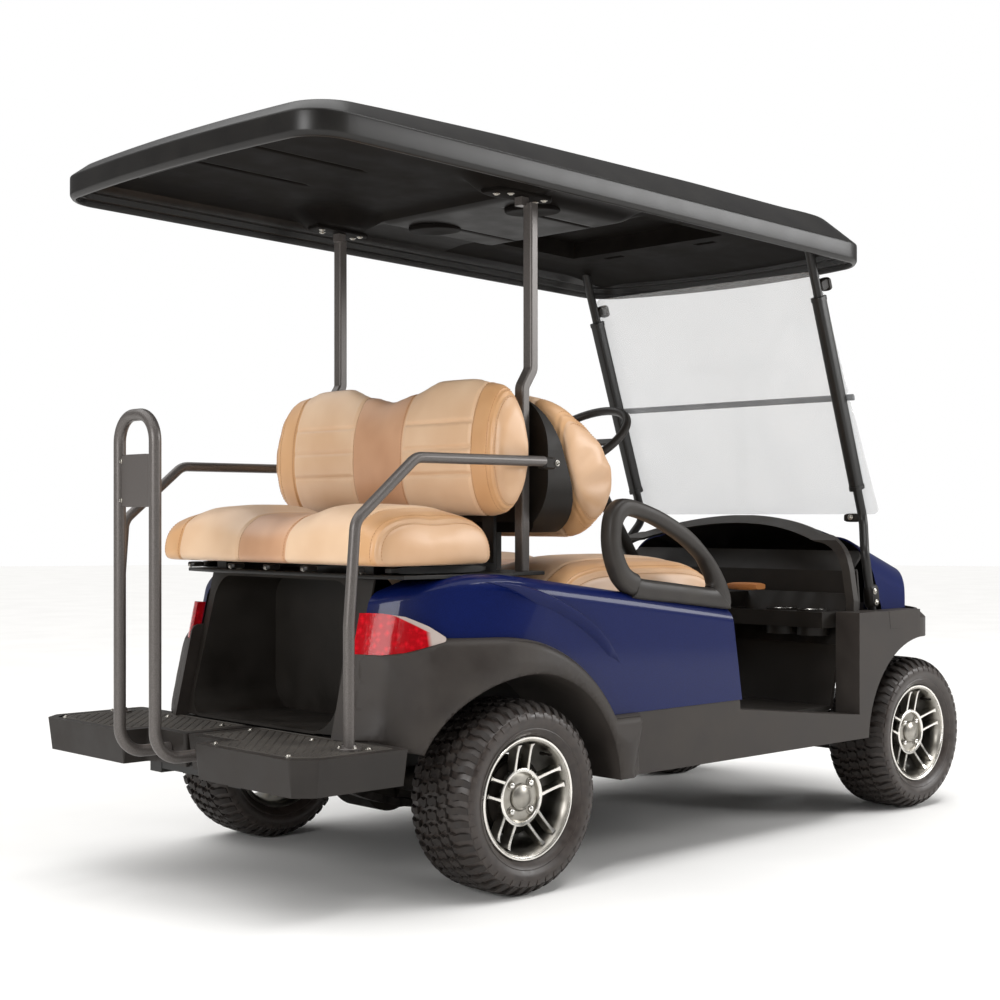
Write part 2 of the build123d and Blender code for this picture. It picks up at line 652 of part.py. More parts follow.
def bumper():
    """Charcoal nose band over the front wheels."""
    t = PANEL_T + 1
    arch_top = TYRE_R + FRONT_ARCH_R
    def band(w, open_top):
        x0 = FENDER_SPLIT_X + GAP - (20 if w else 0)
        top = PILLAR_TOP - GAP + (20 if open_top else 0)
        face = poly((x0, arch_top - 1 + w), (1760, arch_top - 1 + w), (1980, BUMPER_LOW_Z + w),
                    (1980, top), (x0, top))
        plan = front_plan(PILLAR_Y - w, BUMPER_CORNER_X - w, NOSE_X - w, BUMPER_CORNER_R - w)
        return across(face, -600, 600) & upward(plan, 400, 700)
    outer = band(0, False)
    rim_edges = [e for e in outer.edges().group_by(Axis.Z)[-1] if (e @ 0.5).X > FENDER_SPLIT_X + 5]
    outer = chamfer(rim_edges, 26)
    return single(outer - band(t + 18, True))


# ================================================================ cowl, dash and windscreen
def arch_face(grow, foot):
    """Front view of the cowl, drawn as (y, z): near-upright sides under a crowned top."""
    g = grow
    edge = [
        Line((-COWL_Y - g, foot), (-COWL_Y - g, 620)),
        Line((-COWL_Y - g, 620), (-COWL_Y + 14 - g, 700)),
        ThreePointArc((-COWL_Y + 14 - g, 700), (-446 - 0.8 * g, 772 + 0.6 * g), (-350, 815 + g)),
        ThreePointArc((-350, 815 + g), (0, COWL_PEAK_Z + g), (350, 815 + g)),
        ThreePointArc((350, 815 + g), (446 + 0.8 * g, 772 + 0.6 * g), (COWL_Y - 14 + g, 700)),
        Line((COWL_Y - 14 + g, 700), (COWL_Y + g, 620)),
        Line((COWL_Y + g, 620), (COWL_Y + g, foot)),
        Line((COWL_Y + g, foot), (-COWL_Y - g, foot)),
    ]
    return make_face(Wire(edge))


def hoop_line(dx):
    """Side view of the cowl's rear edge, from its foot to its crown."""
    return [(1384 + dx, 540), (1388 + dx, 740), (1404 + dx, 806), (1506 + dx, 882), (1600 + dx, 952)]


def arch_bar(grow, foot, x0, x1):
    """The cowl's front view run forward: its crown falls gently, then faster past the bend."""
    face = Plane.YZ.offset(x0) * arch_face(grow, foot)
    face = Pos(0, 0, (COWL_BEND_X - x0) * COWL_FALL) * face
    bar = extrude(face, amount=COWL_BEND_X - x0, dir=(1, 0, -COWL_FALL))
    nose = Plane.YZ.offset(COWL_BEND_X) * arch_face(grow, foot)
    return bar + extrude(nose, amount=x1 - COWL_BEND_X, dir=(1, 0, -NOSE_FALL))


def cowl_block(grow, foot, rear):
    body = arch_bar(grow, foot - 150, 1300, 1950)
    nose = COWL_NOSE_X + grow
    plan = front_plan(COWL_Y + 10 + grow, COWL_CORNER_X + grow, nose, COWL_CORNER_R + grow)
    side = [(nose + 5, foot - 5), (nose + 5, 640), (nose - 30, 730), (nose - 130 + grow, 800 + grow),
            (nose - 330, 866 + grow), (1505, 890 + grow), (1300, 960)]
    back = [(1300, foot - 5)] if rear else [p for p in reversed(hoop_line(HOOP_T + GAP))]
    profile = side + back if rear else side[:-1] + back[1:]
    return body & upward(plan, foot, 1000) & across(poly(*profile), -600, 600)


def strut_groove(w):
    """Slanted channel for the windscreen strut, w wider all round than the channel itself."""
    face = poly((1438 - w, 830), (1438 - w, 790), (1484 - w, STRUT_FOOT_Z - GAP - w),
                (1542 + w, STRUT_FOOT_Z - GAP - w), (1500 + w, 790), (1500 + w, 830))
    return across(face, GROOVE_Y - w, 700)


def front_cowl():
    outer = cowl_block(0, PILLAR_TOP + GAP, False)
    inner = cowl_block(-PANEL_T, PILLAR_TOP - 30, True)
    for groove in pair(strut_groove(0)):
        outer -= groove
    for groove in pair(strut_groove(PANEL_T)):
        inner -= groove
    return single(outer - inner)


def dash_hoop():
    """Rounded rim round the rear edge of the cowl."""
    band = poly(*(hoop_line(0) + list(reversed(hoop_line(HOOP_T)))))
    ring = arch_bar(HOOP_PROUD, 500, 1300, 1700) - arch_bar(-HOOP_T, 400, 1290, 1710)
    return single(ring & across(band, -600, 600) & box(1300, 1700, -600, 600, PILLAR_TOP + GAP, 1000))


def dash():
    """Shelf with cup wells, a console block and the leaning back wall inside the cowl."""
    inside = arch_bar(-PANEL_T - GAP - 1, 400, 1200, 1700)
    wall = [(DASH_BACK_X, DASH_Z - 20), (DASH_BACK_X + 18, 715), (1540, 806), (1590, 820)]
    wall_back = [(x + 7, z - 4) for x, z in reversed(wall)]
    shape = across(poly(*wall, *wall_back), -600, 600) & inside & box(1300, 1700, -600, 600, DASH_Z + 1, 900)
    half = SIDE_FLANGE_Y - 8
    shape += box(DASH_BACK_X - 8, DASH_BACK_X + 7, -half, half, DASH_Z - 30, DASH_Z + 10)
    shape += box(DASH_REAR_X, DASH_BACK_X + 4, -half, half, DASH_Z - DASH_T, DASH_Z - GAP)
    shape += box(DASH_REAR_X - 20, DASH_BACK_X + 4, -96, 96, DASH_Z - 96, DASH_Z + 46)
    for y in CUP_YS:
        shape += Pos(DASH_REAR_X + 52, y, DASH_Z - 32) * Cylinder(CUP_R + 8, 76)
    for groove in pair(strut_groove(PANEL_T + GAP)):
        shape -= groove
    for y in CUP_YS:
        shape -= Pos(DASH_REAR_X + 52, y, DASH_Z + 5) * Cylinder(CUP_R, 110)
    shape -= box(DASH_REAR_X + 14, DASH_BACK_X - 16, -240, -110, DASH_Z - 34, DASH_Z + 5)
    return single(shape)


def headlamp():
    """Lens let on to the cowl's front corner."""
    lens = cowl_block(4, 560, True) - cowl_block(GAP, 550, True)
    return single(lens & box(1600, 1990, 250, 420, 622, 672))


def screen_x(z):
    """Middle of the windscreen strut at a height."""
    return STRUT_BEND[0] - (z - STRUT_BEND[1]) * SCREEN_LEAN


def front_post():
    """Windscreen strut: it follows the glass, then bends down and out beside the cowl."""
    top_z = 1650.0
    points = [
        (screen_x(top_z), STRUT_Y, top_z), (STRUT_BEND[0], STRUT_Y, STRUT_BEND[1]),
        (STRUT_LOW[0], STRUT_LOW_Y, STRUT_LOW[1]), (STRUT_FOOT_X, STRUT_LOW_Y, STRUT_FOOT_Z - 20),
    ]
    post = square_tube(points, STRUT_W, STRUT_D, 50)
    floor = box(1400, 1600, 400, 560, 400, STRUT_FOOT_Z)
    return single(post - roof_block(GAP) - floor)


def pane(z0, z1, y0, y1):
    """One half of the windscreen, in front of the struts; y0 and y1 are its half widths."""
    lean = math.atan(SCREEN_LEAN)
    tall = (z1 - z0) / math.cos(lean)
    off = STRUT_D / 2 + 2 * GAP
    normal = (math.cos(lean), 0, math.sin(lean))
    origin = (screen_x(z0) + normal[0] * off, 0, z0 + normal[2] * off)
    sheet = Plane(origin=origin, x_dir=(0, 1, 0), z_dir=normal)
    face = poly((-y0, 0), (y0, 0), (y1, tall), (-y1, tall))
    face = fillet(face.vertices(), 18)
    return extrude(sheet * face, amount=SCREEN_T)


# ================================================================ roof
ROOF_FALL = (ROOF_EDGE_REAR_Z - ROOF_EDGE_FRONT_Z) / (ROOF_FRONT_X - ROOF_REAR_X)


def roof_line_z(x):
    """Height of the roof's lower edge."""
    return ROOF_EDGE_REAR_Z - ROOF_FALL * (x - ROOF_REAR_X)


def roof_plan(w):
    x0 = ROOF_REAR_X + w
    x1 = ROOF_FRONT_X - w
    half = ROOF_Y - w
    edge = [
        Line((x0, -half), (x1, -half)),
        ThreePointArc((x1, -half), (x1 + ROOF_FRONT_BOW, 0), (x1, half)),
        Line((x1, half), (x0, half)),
        ThreePointArc((x0, half), (x0 - ROOF_REAR_BOW, 0), (x0, -half)),
    ]
    face = make_face(Wire(edge))
    return fillet(face.vertices(), max(ROOF_CORNER - w, 20))


def roof_hull(w, side):
    """Upright walls to the height side, then a bevel leaning in; w is the inset in plan."""
    lean = math.atan(ROOF_FALL)
    shoulder = Plane(origin=(0, 0, roof_line_z(0) + side), x_dir=(math.cos(lean), 0, -math.sin(lean)),
                     z_dir=(math.sin(lean), 0, math.cos(lean)))
    walls = extrude(shoulder * roof_plan(w), amount=-200)
    return walls + extrude(shoulder * roof_plan(w), amount=120, taper=ROOF_TAPER)


def roof_block(drop):
    """The whole roof moulding before it is hollowed, its underside lowered by drop."""
    top = [(1600, 1640), (1490, 1676), (1380, 1712), (1238, 1744), (690, 1764), (0, 1772),
           (-331, 1768), (-537, 1762), (-700, 1750)]
    low = [(-700, roof_line_z(-700) - drop), (1600, roof_line_z(1600) - drop)]
    return across(poly(*low, *top), -600, 600) & roof_hull(0, ROOF_SIDE)


def roof():
    """Shell with a deep rim, two large recesses and bosses over the posts."""
    ceiling = [(1600, 1600), (1380, 1690), (1238, 1730), (690, 1752), (0, 1760), (-537, 1750), (-700, 1736)]
    room = across(poly((-700, 1600), (1600, 1500), *ceiling), -600, 600)
    hollow = room & roof_hull(ROOF_RIM, ROOF_SIDE + 20)
    keep = box(60, 320, -600, 600, 1500, 1900) - box(100, 280, -250, 250, 1500, 1735)
    keep += box(1190, 1296, -600, 600, 1500, 1900)
    for s in (-1, 1):
        keep += Pos(REAR_POST_X, s * REAR_POST_Y, 1700) * Cylinder(96, 400)
    return single(roof_block(0) - (hollow - keep))


def rear_post():
    """Roof post, set back behind the seat backs and stepped forward above them."""
    points = [
        (REAR_POST_LOW_X, REAR_POST_Y, DECK_Z + GAP), (REAR_POST_LOW_X, REAR_POST_Y, REAR_KINK_Z - 22),
        (REAR_POST_X, REAR_POST_Y, REAR_KINK_Z + 22), (REAR_POST_X, REAR_POST_Y, 1700),
    ]
    post = square_tube(points, POST_W, POST_W - 4, 26)
    return single(post - roof_block(GAP))


# ================================================================ seats
def end_round(z0, z1, half_y, corner):
    """Front-view outline of a seat back, drawn as (y, z)."""
    return Pos(0, (z0 + z1) / 2) * RectangleRounded(2 * half_y, z1 - z0, corner)


def rear_seat_back():
    x0, x1, z0, z1, edge = (REAR_BACK[k] for k in ("x0", "x1", "z0", "z1", "edge"))
    block = extrude(Plane.YZ.offset(x0) * end_round(z0, z1, SEAT_Y, BACK_END_R), amount=x1 - x0)
    return fillet(block.edges().group_by(Axis.X)[0], edge)


def front_seat_back():
    """Leaning cushion with a bulged front."""
    face = make_face(Wire([
        Line((186, 1166), (315.3, 816.8)),
        Line((315.3, 816.8), (372, 822)),
        ThreePointArc((372, 822), (434, 978), (358, 1112)),
        ThreePointArc((358, 1112), (292, 1163), (214, 1186)),
        Line((214, 1186), (186, 1166)),
    ]))
    block = across(face, -SEAT_Y, SEAT_Y)
    outline = end_round(FRONT_BACK_Z0, FRONT_BACK_Z1 + 2, SEAT_Y, BACK_END_R + 20)
    return single(block & extrude(Plane.YZ.offset(100) * outline, amount=400))


def seat_back_panel():
    """Moulded panel that fills the wedge behind the front seat back."""
    face = poly((181, 1158), (181, 862), (214, 836), (307.5, 836), (305.72, 841.9), (185.72, 1165.9))
    block = across(face, -SEAT_Y + 8, SEAT_Y - 8)
    outline = end_round(FRONT_BACK_Z0 + 18, FRONT_BACK_Z1 - 8, SEAT_Y - 8, BACK_END_R + 20)
    return single(block & extrude(Plane.YZ.offset(100) * outline, amount=400))


def rear_seat_frame():
    """Two flat uprights behind the rear seat back, with pads under the rear cushion."""
    y = 300.0
    x0 = REAR_BACK["x1"] + GAP
    bar = box(x0, x0 + 10, y - 20, y + 20, DECK_Z + GAP, 1150)
    rail = box(-260, x0 + 10, y - 20, y + 20, DECK_Z + GAP, REAR_CUSHION["z0"] - GAP)
    return single(bar + rail)


def seat_back_mount():
    """Bracket that carries the front seat back panel on the deck."""
    return box(214, 230, 180, 230, DECK_Z + GAP, 836 - GAP)


def armrest():
    """Moulded loop standing on the shoulder of the side panel."""
    face = poly((377, 672), (752, 632), (747, 672), (665, 782), (501, 880), (355, 924),
                (291, 884), (283, 800), (321, 716))
    outer = fillet(face.vertices(), 15)
    hole = poly((403, 722), (675, 690), (637, 764), (487, 842), (365, 876), (331, 858), (329, 806), (355, 744))
    hole = fillet(hole.vertices(), 14)
    loop = across(outer, 518, 564) - across(hole, 500, 600)
    return single(loop - Pos(0, GAP, GAP) * body_side_block(0, GAP))


# ================================================================ rails, footrest, steering
def hip_rail():
    """Handrail from beside the seat back down to the footrest."""
    points = [
        (135, HIP_Y, HIP_Z), (-266, HIP_Y, HIP_Z), (-438, HIP_Y, 866),
        (HIP_LEG_X, HIP_Y, 640), (HIP_LEG_X, HIP_Y, STEP_TOP + GAP),
    ]
    rail = round_tube(points, HIP_R, 46)
    tab = box(118 + GAP, REAR_POST_LOW_X - 14, REAR_POST_Y + POST_W / 2 + GAP, HIP_Y, HIP_Z - 8, HIP_Z + 8)
    tab += box(REAR_POST_LOW_X - 16, REAR_POST_LOW_X + 10, REAR_POST_Y + POST_W / 2 + GAP,
               REAR_POST_Y + POST_W / 2 + 8, HIP_Z - 8, HIP_Z + 8)
    return single(rail + tab)


def step_pad():
    """One drafted, hollow footrest pad with a shallow tray for its mat."""
    points = [(STEP_REAR_X, STEP_NOTCH_Y), (STEP_REAR_X, STEP_Y - 40), (STEP_REAR_X + 46, STEP_Y),
              (STEP_FRONT_X, STEP_Y), (STEP_FRONT_X, 4), (STEP_NOTCH_X, 4), (STEP_NOTCH_X, STEP_NOTCH_Y)]
    top = poly(*points)
    down = -(STEP_TOP - STEP_BOTTOM)
    block = extrude(Plane.XY.offset(STEP_TOP) * fillet(top.vertices(), 12), amount=down, taper=STEP_DRAFT)
    room = extrude(Plane.XY.offset(STEP_TOP - STEP_WALL) * offset(top, -STEP_WALL),
                   amount=down, taper=STEP_DRAFT)
    tray = upward(fillet(offset(top, -MAT_INSET).vertices(), 16), STEP_TOP - MAT_DEPTH, STEP_TOP + 5)
    room += box(STEP_NOTCH_X + 20, STEP_FRONT_X - 12, -5, 20, STEP_BOTTOM - 5, STEP_TOP - STEP_WALL)
    rail = box(STEP_FRONT_X - 20, STEP_FRONT_X + 5, RAIL_Y - 31, RAIL_Y + 31, 200, RAIL_BOTTOM + RAIL_H + 6)
    return single(block - room - tray - rail)


def footrest_frame():
    """Cross tubes and arms that carry the footrest from the chassis rails."""
    top = STEP_TOP - STEP_WALL - GAP
    low = top - 30
    frame = box(-536, -506, -470, 470, low, top)
    frame += box(-425, -395, -470, 470, low, top)
    for s in (-1, 1):
        frame += box(-536, -395, s * 250 - 15, s * 250 + 15, low, top)
        frame += box(RAIL_REAR + 4, RAIL_REAR + 32, s * RAIL_Y - 15, s * RAIL_Y + 15,
                     RAIL_BOTTOM + RAIL_H + GAP, top)
    return single(frame)


def grab_bar():
    """Upright loop whose feet turn under the footrest."""
    x = TAIL_X + GRAB_R
    foot = [(-557.1, -GRAB_HALF, 332), (x, -GRAB_HALF, 332)]
    rise = [(x, -GRAB_HALF, GRAB_TOP - GRAB_R), (x, GRAB_HALF, GRAB_TOP - GRAB_R)]
    back = [(px, -py, pz) for px, py, pz in reversed(foot)]
    path = FilletPolyline(*(foot + rise + back), radius=GRAB_BEND)
    bar = sweep(Plane(origin=path @ 0, z_dir=path % 0) * Circle(GRAB_R), path=path)
    plate = box(x - 3, x + 3, -GRAB_HALF + 6, GRAB_HALF - 6, 905, 1010)
    return single(bar + plate)


def tilt_plane():
    """The steering wheel's own plane; its z axis is the column."""
    a = math.radians(WHEEL_TILT)
    return Plane(origin=WHEEL_AT, x_dir=(math.cos(a), 0, math.sin(a)),
                 z_dir=(-math.sin(a), 0, math.cos(a)))


def steering_wheel():
    ring = Torus(WHEEL_R, WHEEL_RING_R)
    hub = Pos(0, 0, -18) * Cylinder(46, 44)
    wheel = ring + hub + Pos(0, 0, -60) * Cylinder(SHAFT_R, 60)
    for a in (-90, 90, 180):
        spoke = Rot(0, 0, a) * Pos(WHEEL_R / 2 + 12, 0, -6) * Box(WHEEL_R - 24, 26, 8)
        wheel += spoke
    return single(tilt_plane() * wheel)


def steering_column():
    length = 700.0
    tube = Pos(0, 0, -40 - SPIN_GAP - length / 2) * Cylinder(COLUMN_R, length)
    column = tilt_plane() * (tube - Pos(0, 0, -75) * Cylinder(SHAFT_R + 0.06, 64))
    return single(column - box(900, 1700, 0, 500, 0, DASH_Z))


def pedals():
    """Brake and accelerator pads standing on the floor."""
    pads = []
    for y, w, tall in ((205.0, 110.0, 150.0), (335.0, 64.0, 150.0)):
        face = poly((KICK_FOOT_X - 70, FLOOR_Z + GAP), (KICK_FOOT_X - 50, FLOOR_Z + GAP),
                    (KICK_FOOT_X - 16, FLOOR_Z + tall), (KICK_FOOT_X - 28, FLOOR_Z + tall))
        pads.append(across(face, y - w / 2, y + w / 2))
    return pads


def battery_pack():
    return box(POD_REAR_X + 20, POD_FRONT_X - 60, -300, 300, FLOOR_Z + GAP, 600)


def lamp_cut(grow):
    """Side-on teardrop of the tail lamp, through the rear corner of the body."""
    face = poly((-400, 560), (-335, 564), (-300, 563), (-267, 569), (-229, 583), (-190, 597),
                (-224, 628), (-257, 649), (-288, 656), (-330, 656), (-400, 652))
    face = offset(fillet(face.vertices(), 8), grow) if grow else fillet(face.vertices(), 8)
    return across(face, BAG_Y + 3 + 2 * PANEL_T - grow, 620)


def tail_lamp():
    """Lamp let in to the rear corner, over the joint of panel and flare."""
    skin = raked(rear_plan(FLARE_Y - 4, 4, 90), 500, 700)
    core = raked(rear_plan(FLARE_Y - 40, 40, 90), 490, 710)
    return single(lamp_cut(0) & (skin - core))


def windshield():
    """Lower and upper panes, meeting at the folding joint."""
    low = pane(SCREEN_FOOT_Z, SCREEN_HINGE_Z - SCREEN_SPLIT / 2, 484, 462)
    high = pane(SCREEN_HINGE_Z + SCREEN_SPLIT / 2, SCREEN_TOP_Z, 462, 440)
    return low, high


if __name__ == "__main__":
    wheels()
    put("chassis_frame", chassis_frame())
    put("rear_axle", rear_axle())
    put("leaf_springs", *pair(leaf_spring()))
    put("front_axle", front_axle())
    put("knuckle_right", knuckle(-1))
    put("knuckle_left", knuckle(1))
    put("tie_rod", tie_rod())
    put("battery_pack", battery_pack())
    put("rear_fenders", *pair(single(rear_fender() - lamp_cut(GAP))))
    put("body_sides", *pair(single(body_side() - lamp_cut(GAP))))
    put("tail_lamps", *pair(tail_lamp()))
    put("bagwell", bagwell())
    put("seat_deck", seat_deck())
    put("seat_pod", seat_pod())
    put("floor_pan", floor_pan())
    put("rocker_panels", *pair(rocker_panel()))
    put("bumper", bumper())
    put("front_cowl", front_cowl())
    put("dash_hoop", dash_hoop())
    put("dash", dash())
    put("headlamps", *pair(headlamp()))
    put("front_posts", *pair(front_post()))
    lower_pane, upper_pane = windshield()
    put("windshield_lower", lower_pane)
    put("windshield_upper", upper_pane)
    put("roof", roof())
    put("rear_posts", *pair(rear_post()))
    put("front_seat_cushion", cushion(**FRONT_CUSHION))
    put("rear_seat_cushion", cushion(**REAR_CUSHION))
    put("front_seat_back", front_seat_back())
    put("rear_seat_back", rear_seat_back())
    put("seat_back_panel", seat_back_panel())
    put("seat_back_brackets", *pair(seat_back_mount()))
    put("rear_seat_frame", *pair(rear_seat_frame()))
    put("armrests", *pair(armrest()))
    put("hip_rails", *pair(hip_rail()))
    put("footrest_pads", *pair(step_pad()))
    put("footrest_frame", footrest_frame())
    put("grab_bar", grab_bar())
    put("steering_wheel", steering_wheel())
    put("steering_column", steering_column())
    put("pedals", *pedals())
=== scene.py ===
"""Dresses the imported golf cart: finishes, tyres, wheels, seats, lamps, trim and a plain studio."""

import math

import bmesh
import bpy
import numpy as np
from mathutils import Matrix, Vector
from mathutils.bvhtree import BVHTree


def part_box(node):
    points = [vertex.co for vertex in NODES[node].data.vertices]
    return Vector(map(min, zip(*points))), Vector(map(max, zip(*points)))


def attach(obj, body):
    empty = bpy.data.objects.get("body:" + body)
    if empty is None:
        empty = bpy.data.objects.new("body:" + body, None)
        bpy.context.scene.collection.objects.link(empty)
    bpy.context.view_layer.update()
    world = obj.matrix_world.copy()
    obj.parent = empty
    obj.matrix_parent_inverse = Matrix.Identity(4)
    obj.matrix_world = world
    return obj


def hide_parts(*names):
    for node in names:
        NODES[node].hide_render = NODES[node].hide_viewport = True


bl_info = {
    "name": "Golf Cart Dresser",
    "version": (1, 0, 0),
    "blender": (4, 5, 0),
    "location": "View3D > Sidebar > Golf Cart",
    "description": "Adds tyres, wheels, seats, lamps, trim and finishes to a packed golf cart",
    "category": "Object",
}

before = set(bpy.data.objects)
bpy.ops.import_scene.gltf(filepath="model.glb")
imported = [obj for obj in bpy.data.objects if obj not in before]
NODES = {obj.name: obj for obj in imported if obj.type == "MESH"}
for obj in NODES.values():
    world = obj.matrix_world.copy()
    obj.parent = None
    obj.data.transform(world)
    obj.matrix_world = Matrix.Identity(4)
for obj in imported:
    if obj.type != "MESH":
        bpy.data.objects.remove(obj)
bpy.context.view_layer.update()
MM = 0.001
TURN = 2 * math.pi


def middle(node):
    """Middle of a node's box, in metres."""
    low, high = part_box(node)
    return (low + high) / 2


AXLE_X = middle("rim_rear_left").x
CORNERS = {"front_right": -1, "front_left": 1, "rear_right": -1, "rear_left": 1}


def at(x, y, z):
    """A point given in mm, with x measured forward from the rear axle."""
    return Vector((x * MM + AXLE_X, y * MM, z * MM))


# ---------------------------------------------------------------- node and mesh tools
def hexa(code):
    """An sRGB hex colour as linear RGBA."""
    out = []
    for k in (1, 3, 5):
        v = int(code[k:k + 2], 16) / 255
        out.append(v / 12.92 if v <= 0.04045 else ((v + 0.055) / 1.055) ** 2.4)
    return (*out, 1.0)


def add(tree, kind, feeds=(), values=(), **settings):
    """Adds one node; values are (socket, value) and feeds are (socket, node, its output)."""
    node = tree.nodes.new("ShaderNode" + kind)
    for name, value in settings.items():
        setattr(node, name, value)
    for socket, value in values:
        node.inputs[socket].default_value = value
    for socket, source, output in feeds:
        tree.links.new(source.outputs[output], node.inputs[socket])
    return node


FINISHES = {}


def begin(name):
    """A new empty material; close() gives it its shader."""
    material = bpy.data.materials.new(name)
    material.use_nodes = True
    material.node_tree.nodes.clear()
    FINISHES[name] = material
    return material.node_tree


def close(tree, feeds, values):
    """Ends a material in one shader with these feeds and values."""
    shader = add(tree, "BsdfPrincipled", feeds, values)
    add(tree, "OutputMaterial", [("Surface", shader, "BSDF")])


def mottle(tree, where, size_mm, dark, light, rough, detail=3.0):
    """The slow change of colour and dullness over a real surface: a colour ramp and a roughness."""
    cloud = add(tree, "TexNoise", [("Vector", where, "Object")],
                [("Scale", 1 / (size_mm * MM)), ("Detail", detail)])
    ramp = add(tree, "ValToRGB", [("Fac", cloud, "Fac")])
    for element, place, colour in zip(ramp.color_ramp.elements, (0.32, 0.68), (dark, light)):
        element.position = place
        element.color = hexa(colour) if isinstance(colour, str) else (*colour[:3], 1.0)
    dull = add(tree, "MapRange", [("Value", cloud, "Fac")],
               [("From Min", 0.3), ("From Max", 0.7), ("To Min", rough[0]), ("To Max", rough[1])])
    return ramp, dull


def from_mesh(name, mesh, finishes, slot, body="chassis", smooth=35, stands_for=None):
    """A piece from a mesh, on its body; slot is not used.

    smooth is the crease angle in degrees; stands_for is the CAD node that the piece is shown for.
    """
    clean = bmesh.new()
    clean.from_mesh(mesh)
    bmesh.ops.recalc_face_normals(clean, faces=clean.faces)
    clean.to_mesh(mesh)
    clean.free()
    mesh.name = name
    obj = bpy.data.objects.new(name, mesh)
    bpy.context.scene.collection.objects.link(obj)
    for finish in finishes:
        mesh.materials.append(FINISHES[finish])
    if smooth:
        mesh.polygons.foreach_set("use_smooth", [True] * len(mesh.polygons))
        mesh.set_sharp_from_angle(angle=math.radians(smooth))
    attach(obj, body)
    if stands_for:
        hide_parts(stands_for)
    return obj


class Build:
    """Collects the forms of one mesh; a form's mark is the number of its finish."""

    def __init__(self):
        self.verts, self.faces, self.marks = [], [], []

    def add(self, verts, faces, mark=0):
        base = len(self.verts)
        self.verts += [Vector(v) for v in verts]
        self.faces += [tuple(base + k for k in f) for f in faces]
        self.marks += [mark] * len(faces)

    def grid(self, rows, wrap=True, caps=False, mark=0):
        """Quads between rings of equal length; wrap closes each ring."""
        n = len(rows[0])
        verts = [v for row in rows for v in row]
        faces = []
        for i in range(len(rows) - 1):
            for j in range(n if wrap else n - 1):
                k = (j + 1) % n
                faces.append((i * n + j, i * n + k, (i + 1) * n + k, (i + 1) * n + j))
        if caps:
            faces.append(tuple(range(n - 1, -1, -1)))
            faces.append(tuple((len(rows) - 1) * n + j for j in range(n)))
        self.add(verts, faces, mark)

    def prism(self, outline, depth, bevel, place):
        """An outline of (u, v) in mm run from w = 0 to depth with bevelled rims, set by place(u, v, w)."""
        cu = sum(u for u, v in outline) / len(outline)
        cv = sum(v for u, v in outline) / len(outline)
        scale = 1 - bevel / max(math.hypot(u - cu, v - cv) for u, v in outline)
        small = [(cu + (u - cu) * scale, cv + (v - cv) * scale) for u, v in outline]
        rings = [(small, 0), (outline, bevel), (outline, depth - bevel), (small, depth)]
        self.grid([[place(u, v, w) for u, v in ring] for ring, w in rings], caps=True)

    def bar(self, points, radii, sides=12):
        """A round bar along points in metres, with a radius in mm for each point."""
        side = (points[1] - points[0]).orthogonal().normalized()
        rows = []
        for i, (p, radius) in enumerate(zip(points, radii)):
            ahead = (points[min(i + 1, len(points) - 1)] - points[max(i - 1, 0)]).normalized()
            side = (side - ahead * side.dot(ahead)).normalized()
            up = ahead.cross(side)
            rows.append([])
            for k in range(sides):
                t = TURN * k / sides
                rows[-1].append(p + (side * math.cos(t) + up * math.sin(t)) * radius * MM)
        self.grid(rows, caps=True)

    def lathe(self, outline, place, steps=48, closed=False, mark=0):
        """Turns (radius, height) in mm; place(radius, angle, height) gives the point."""
        rows = [[place(r, TURN * k / steps, h) for k in range(steps)] for r, h in outline]
        if closed:
            rows.append(rows[0])
        self.grid(rows, caps=not closed, mark=mark)

    def make(self, name, finishes, slot, **options):
        """The collected forms as one piece; options are those of from_mesh."""
        mesh = bpy.data.meshes.new(name)
        mesh.from_pydata([tuple(v) for v in self.verts], [], self.faces)
        mesh.polygons.foreach_set("material_index", self.marks)
        return from_mesh(name, mesh, finishes, slot, **options)


def about_axle(centre, side):
    """Places (radius, angle, height) round an axle; height runs outward from the wheel's middle."""
    def place(r, t, h):
        return centre + Vector((r * math.sin(t), side * h, r * math.cos(t))) * MM
    return place


def squared(t, power, other=None):
    """Cosine and sine of an angle, each drawn out toward a square by a power below 1."""
    c, s = math.cos(t), math.sin(t)
    return math.copysign(abs(c) ** power, c), math.copysign(abs(s) ** (other or power), s)


def smooth_step(t):
    """Runs from 0 to 1 with a level start and end."""
    return t * t * (3 - 2 * t)


def upright(x, y, z, facing=(0, 0, 1)):
    """Places (radius, angle, height) round a line through a point in mm, along facing."""
    centre = at(x, y, z)
    n = Vector(facing).normalized()
    a = n.orthogonal().normalized()
    b = n.cross(a)

    def place(r, t, h):
        return centre + (a * math.cos(t) + b * math.sin(t)) * r * MM + n * h * MM
    return place


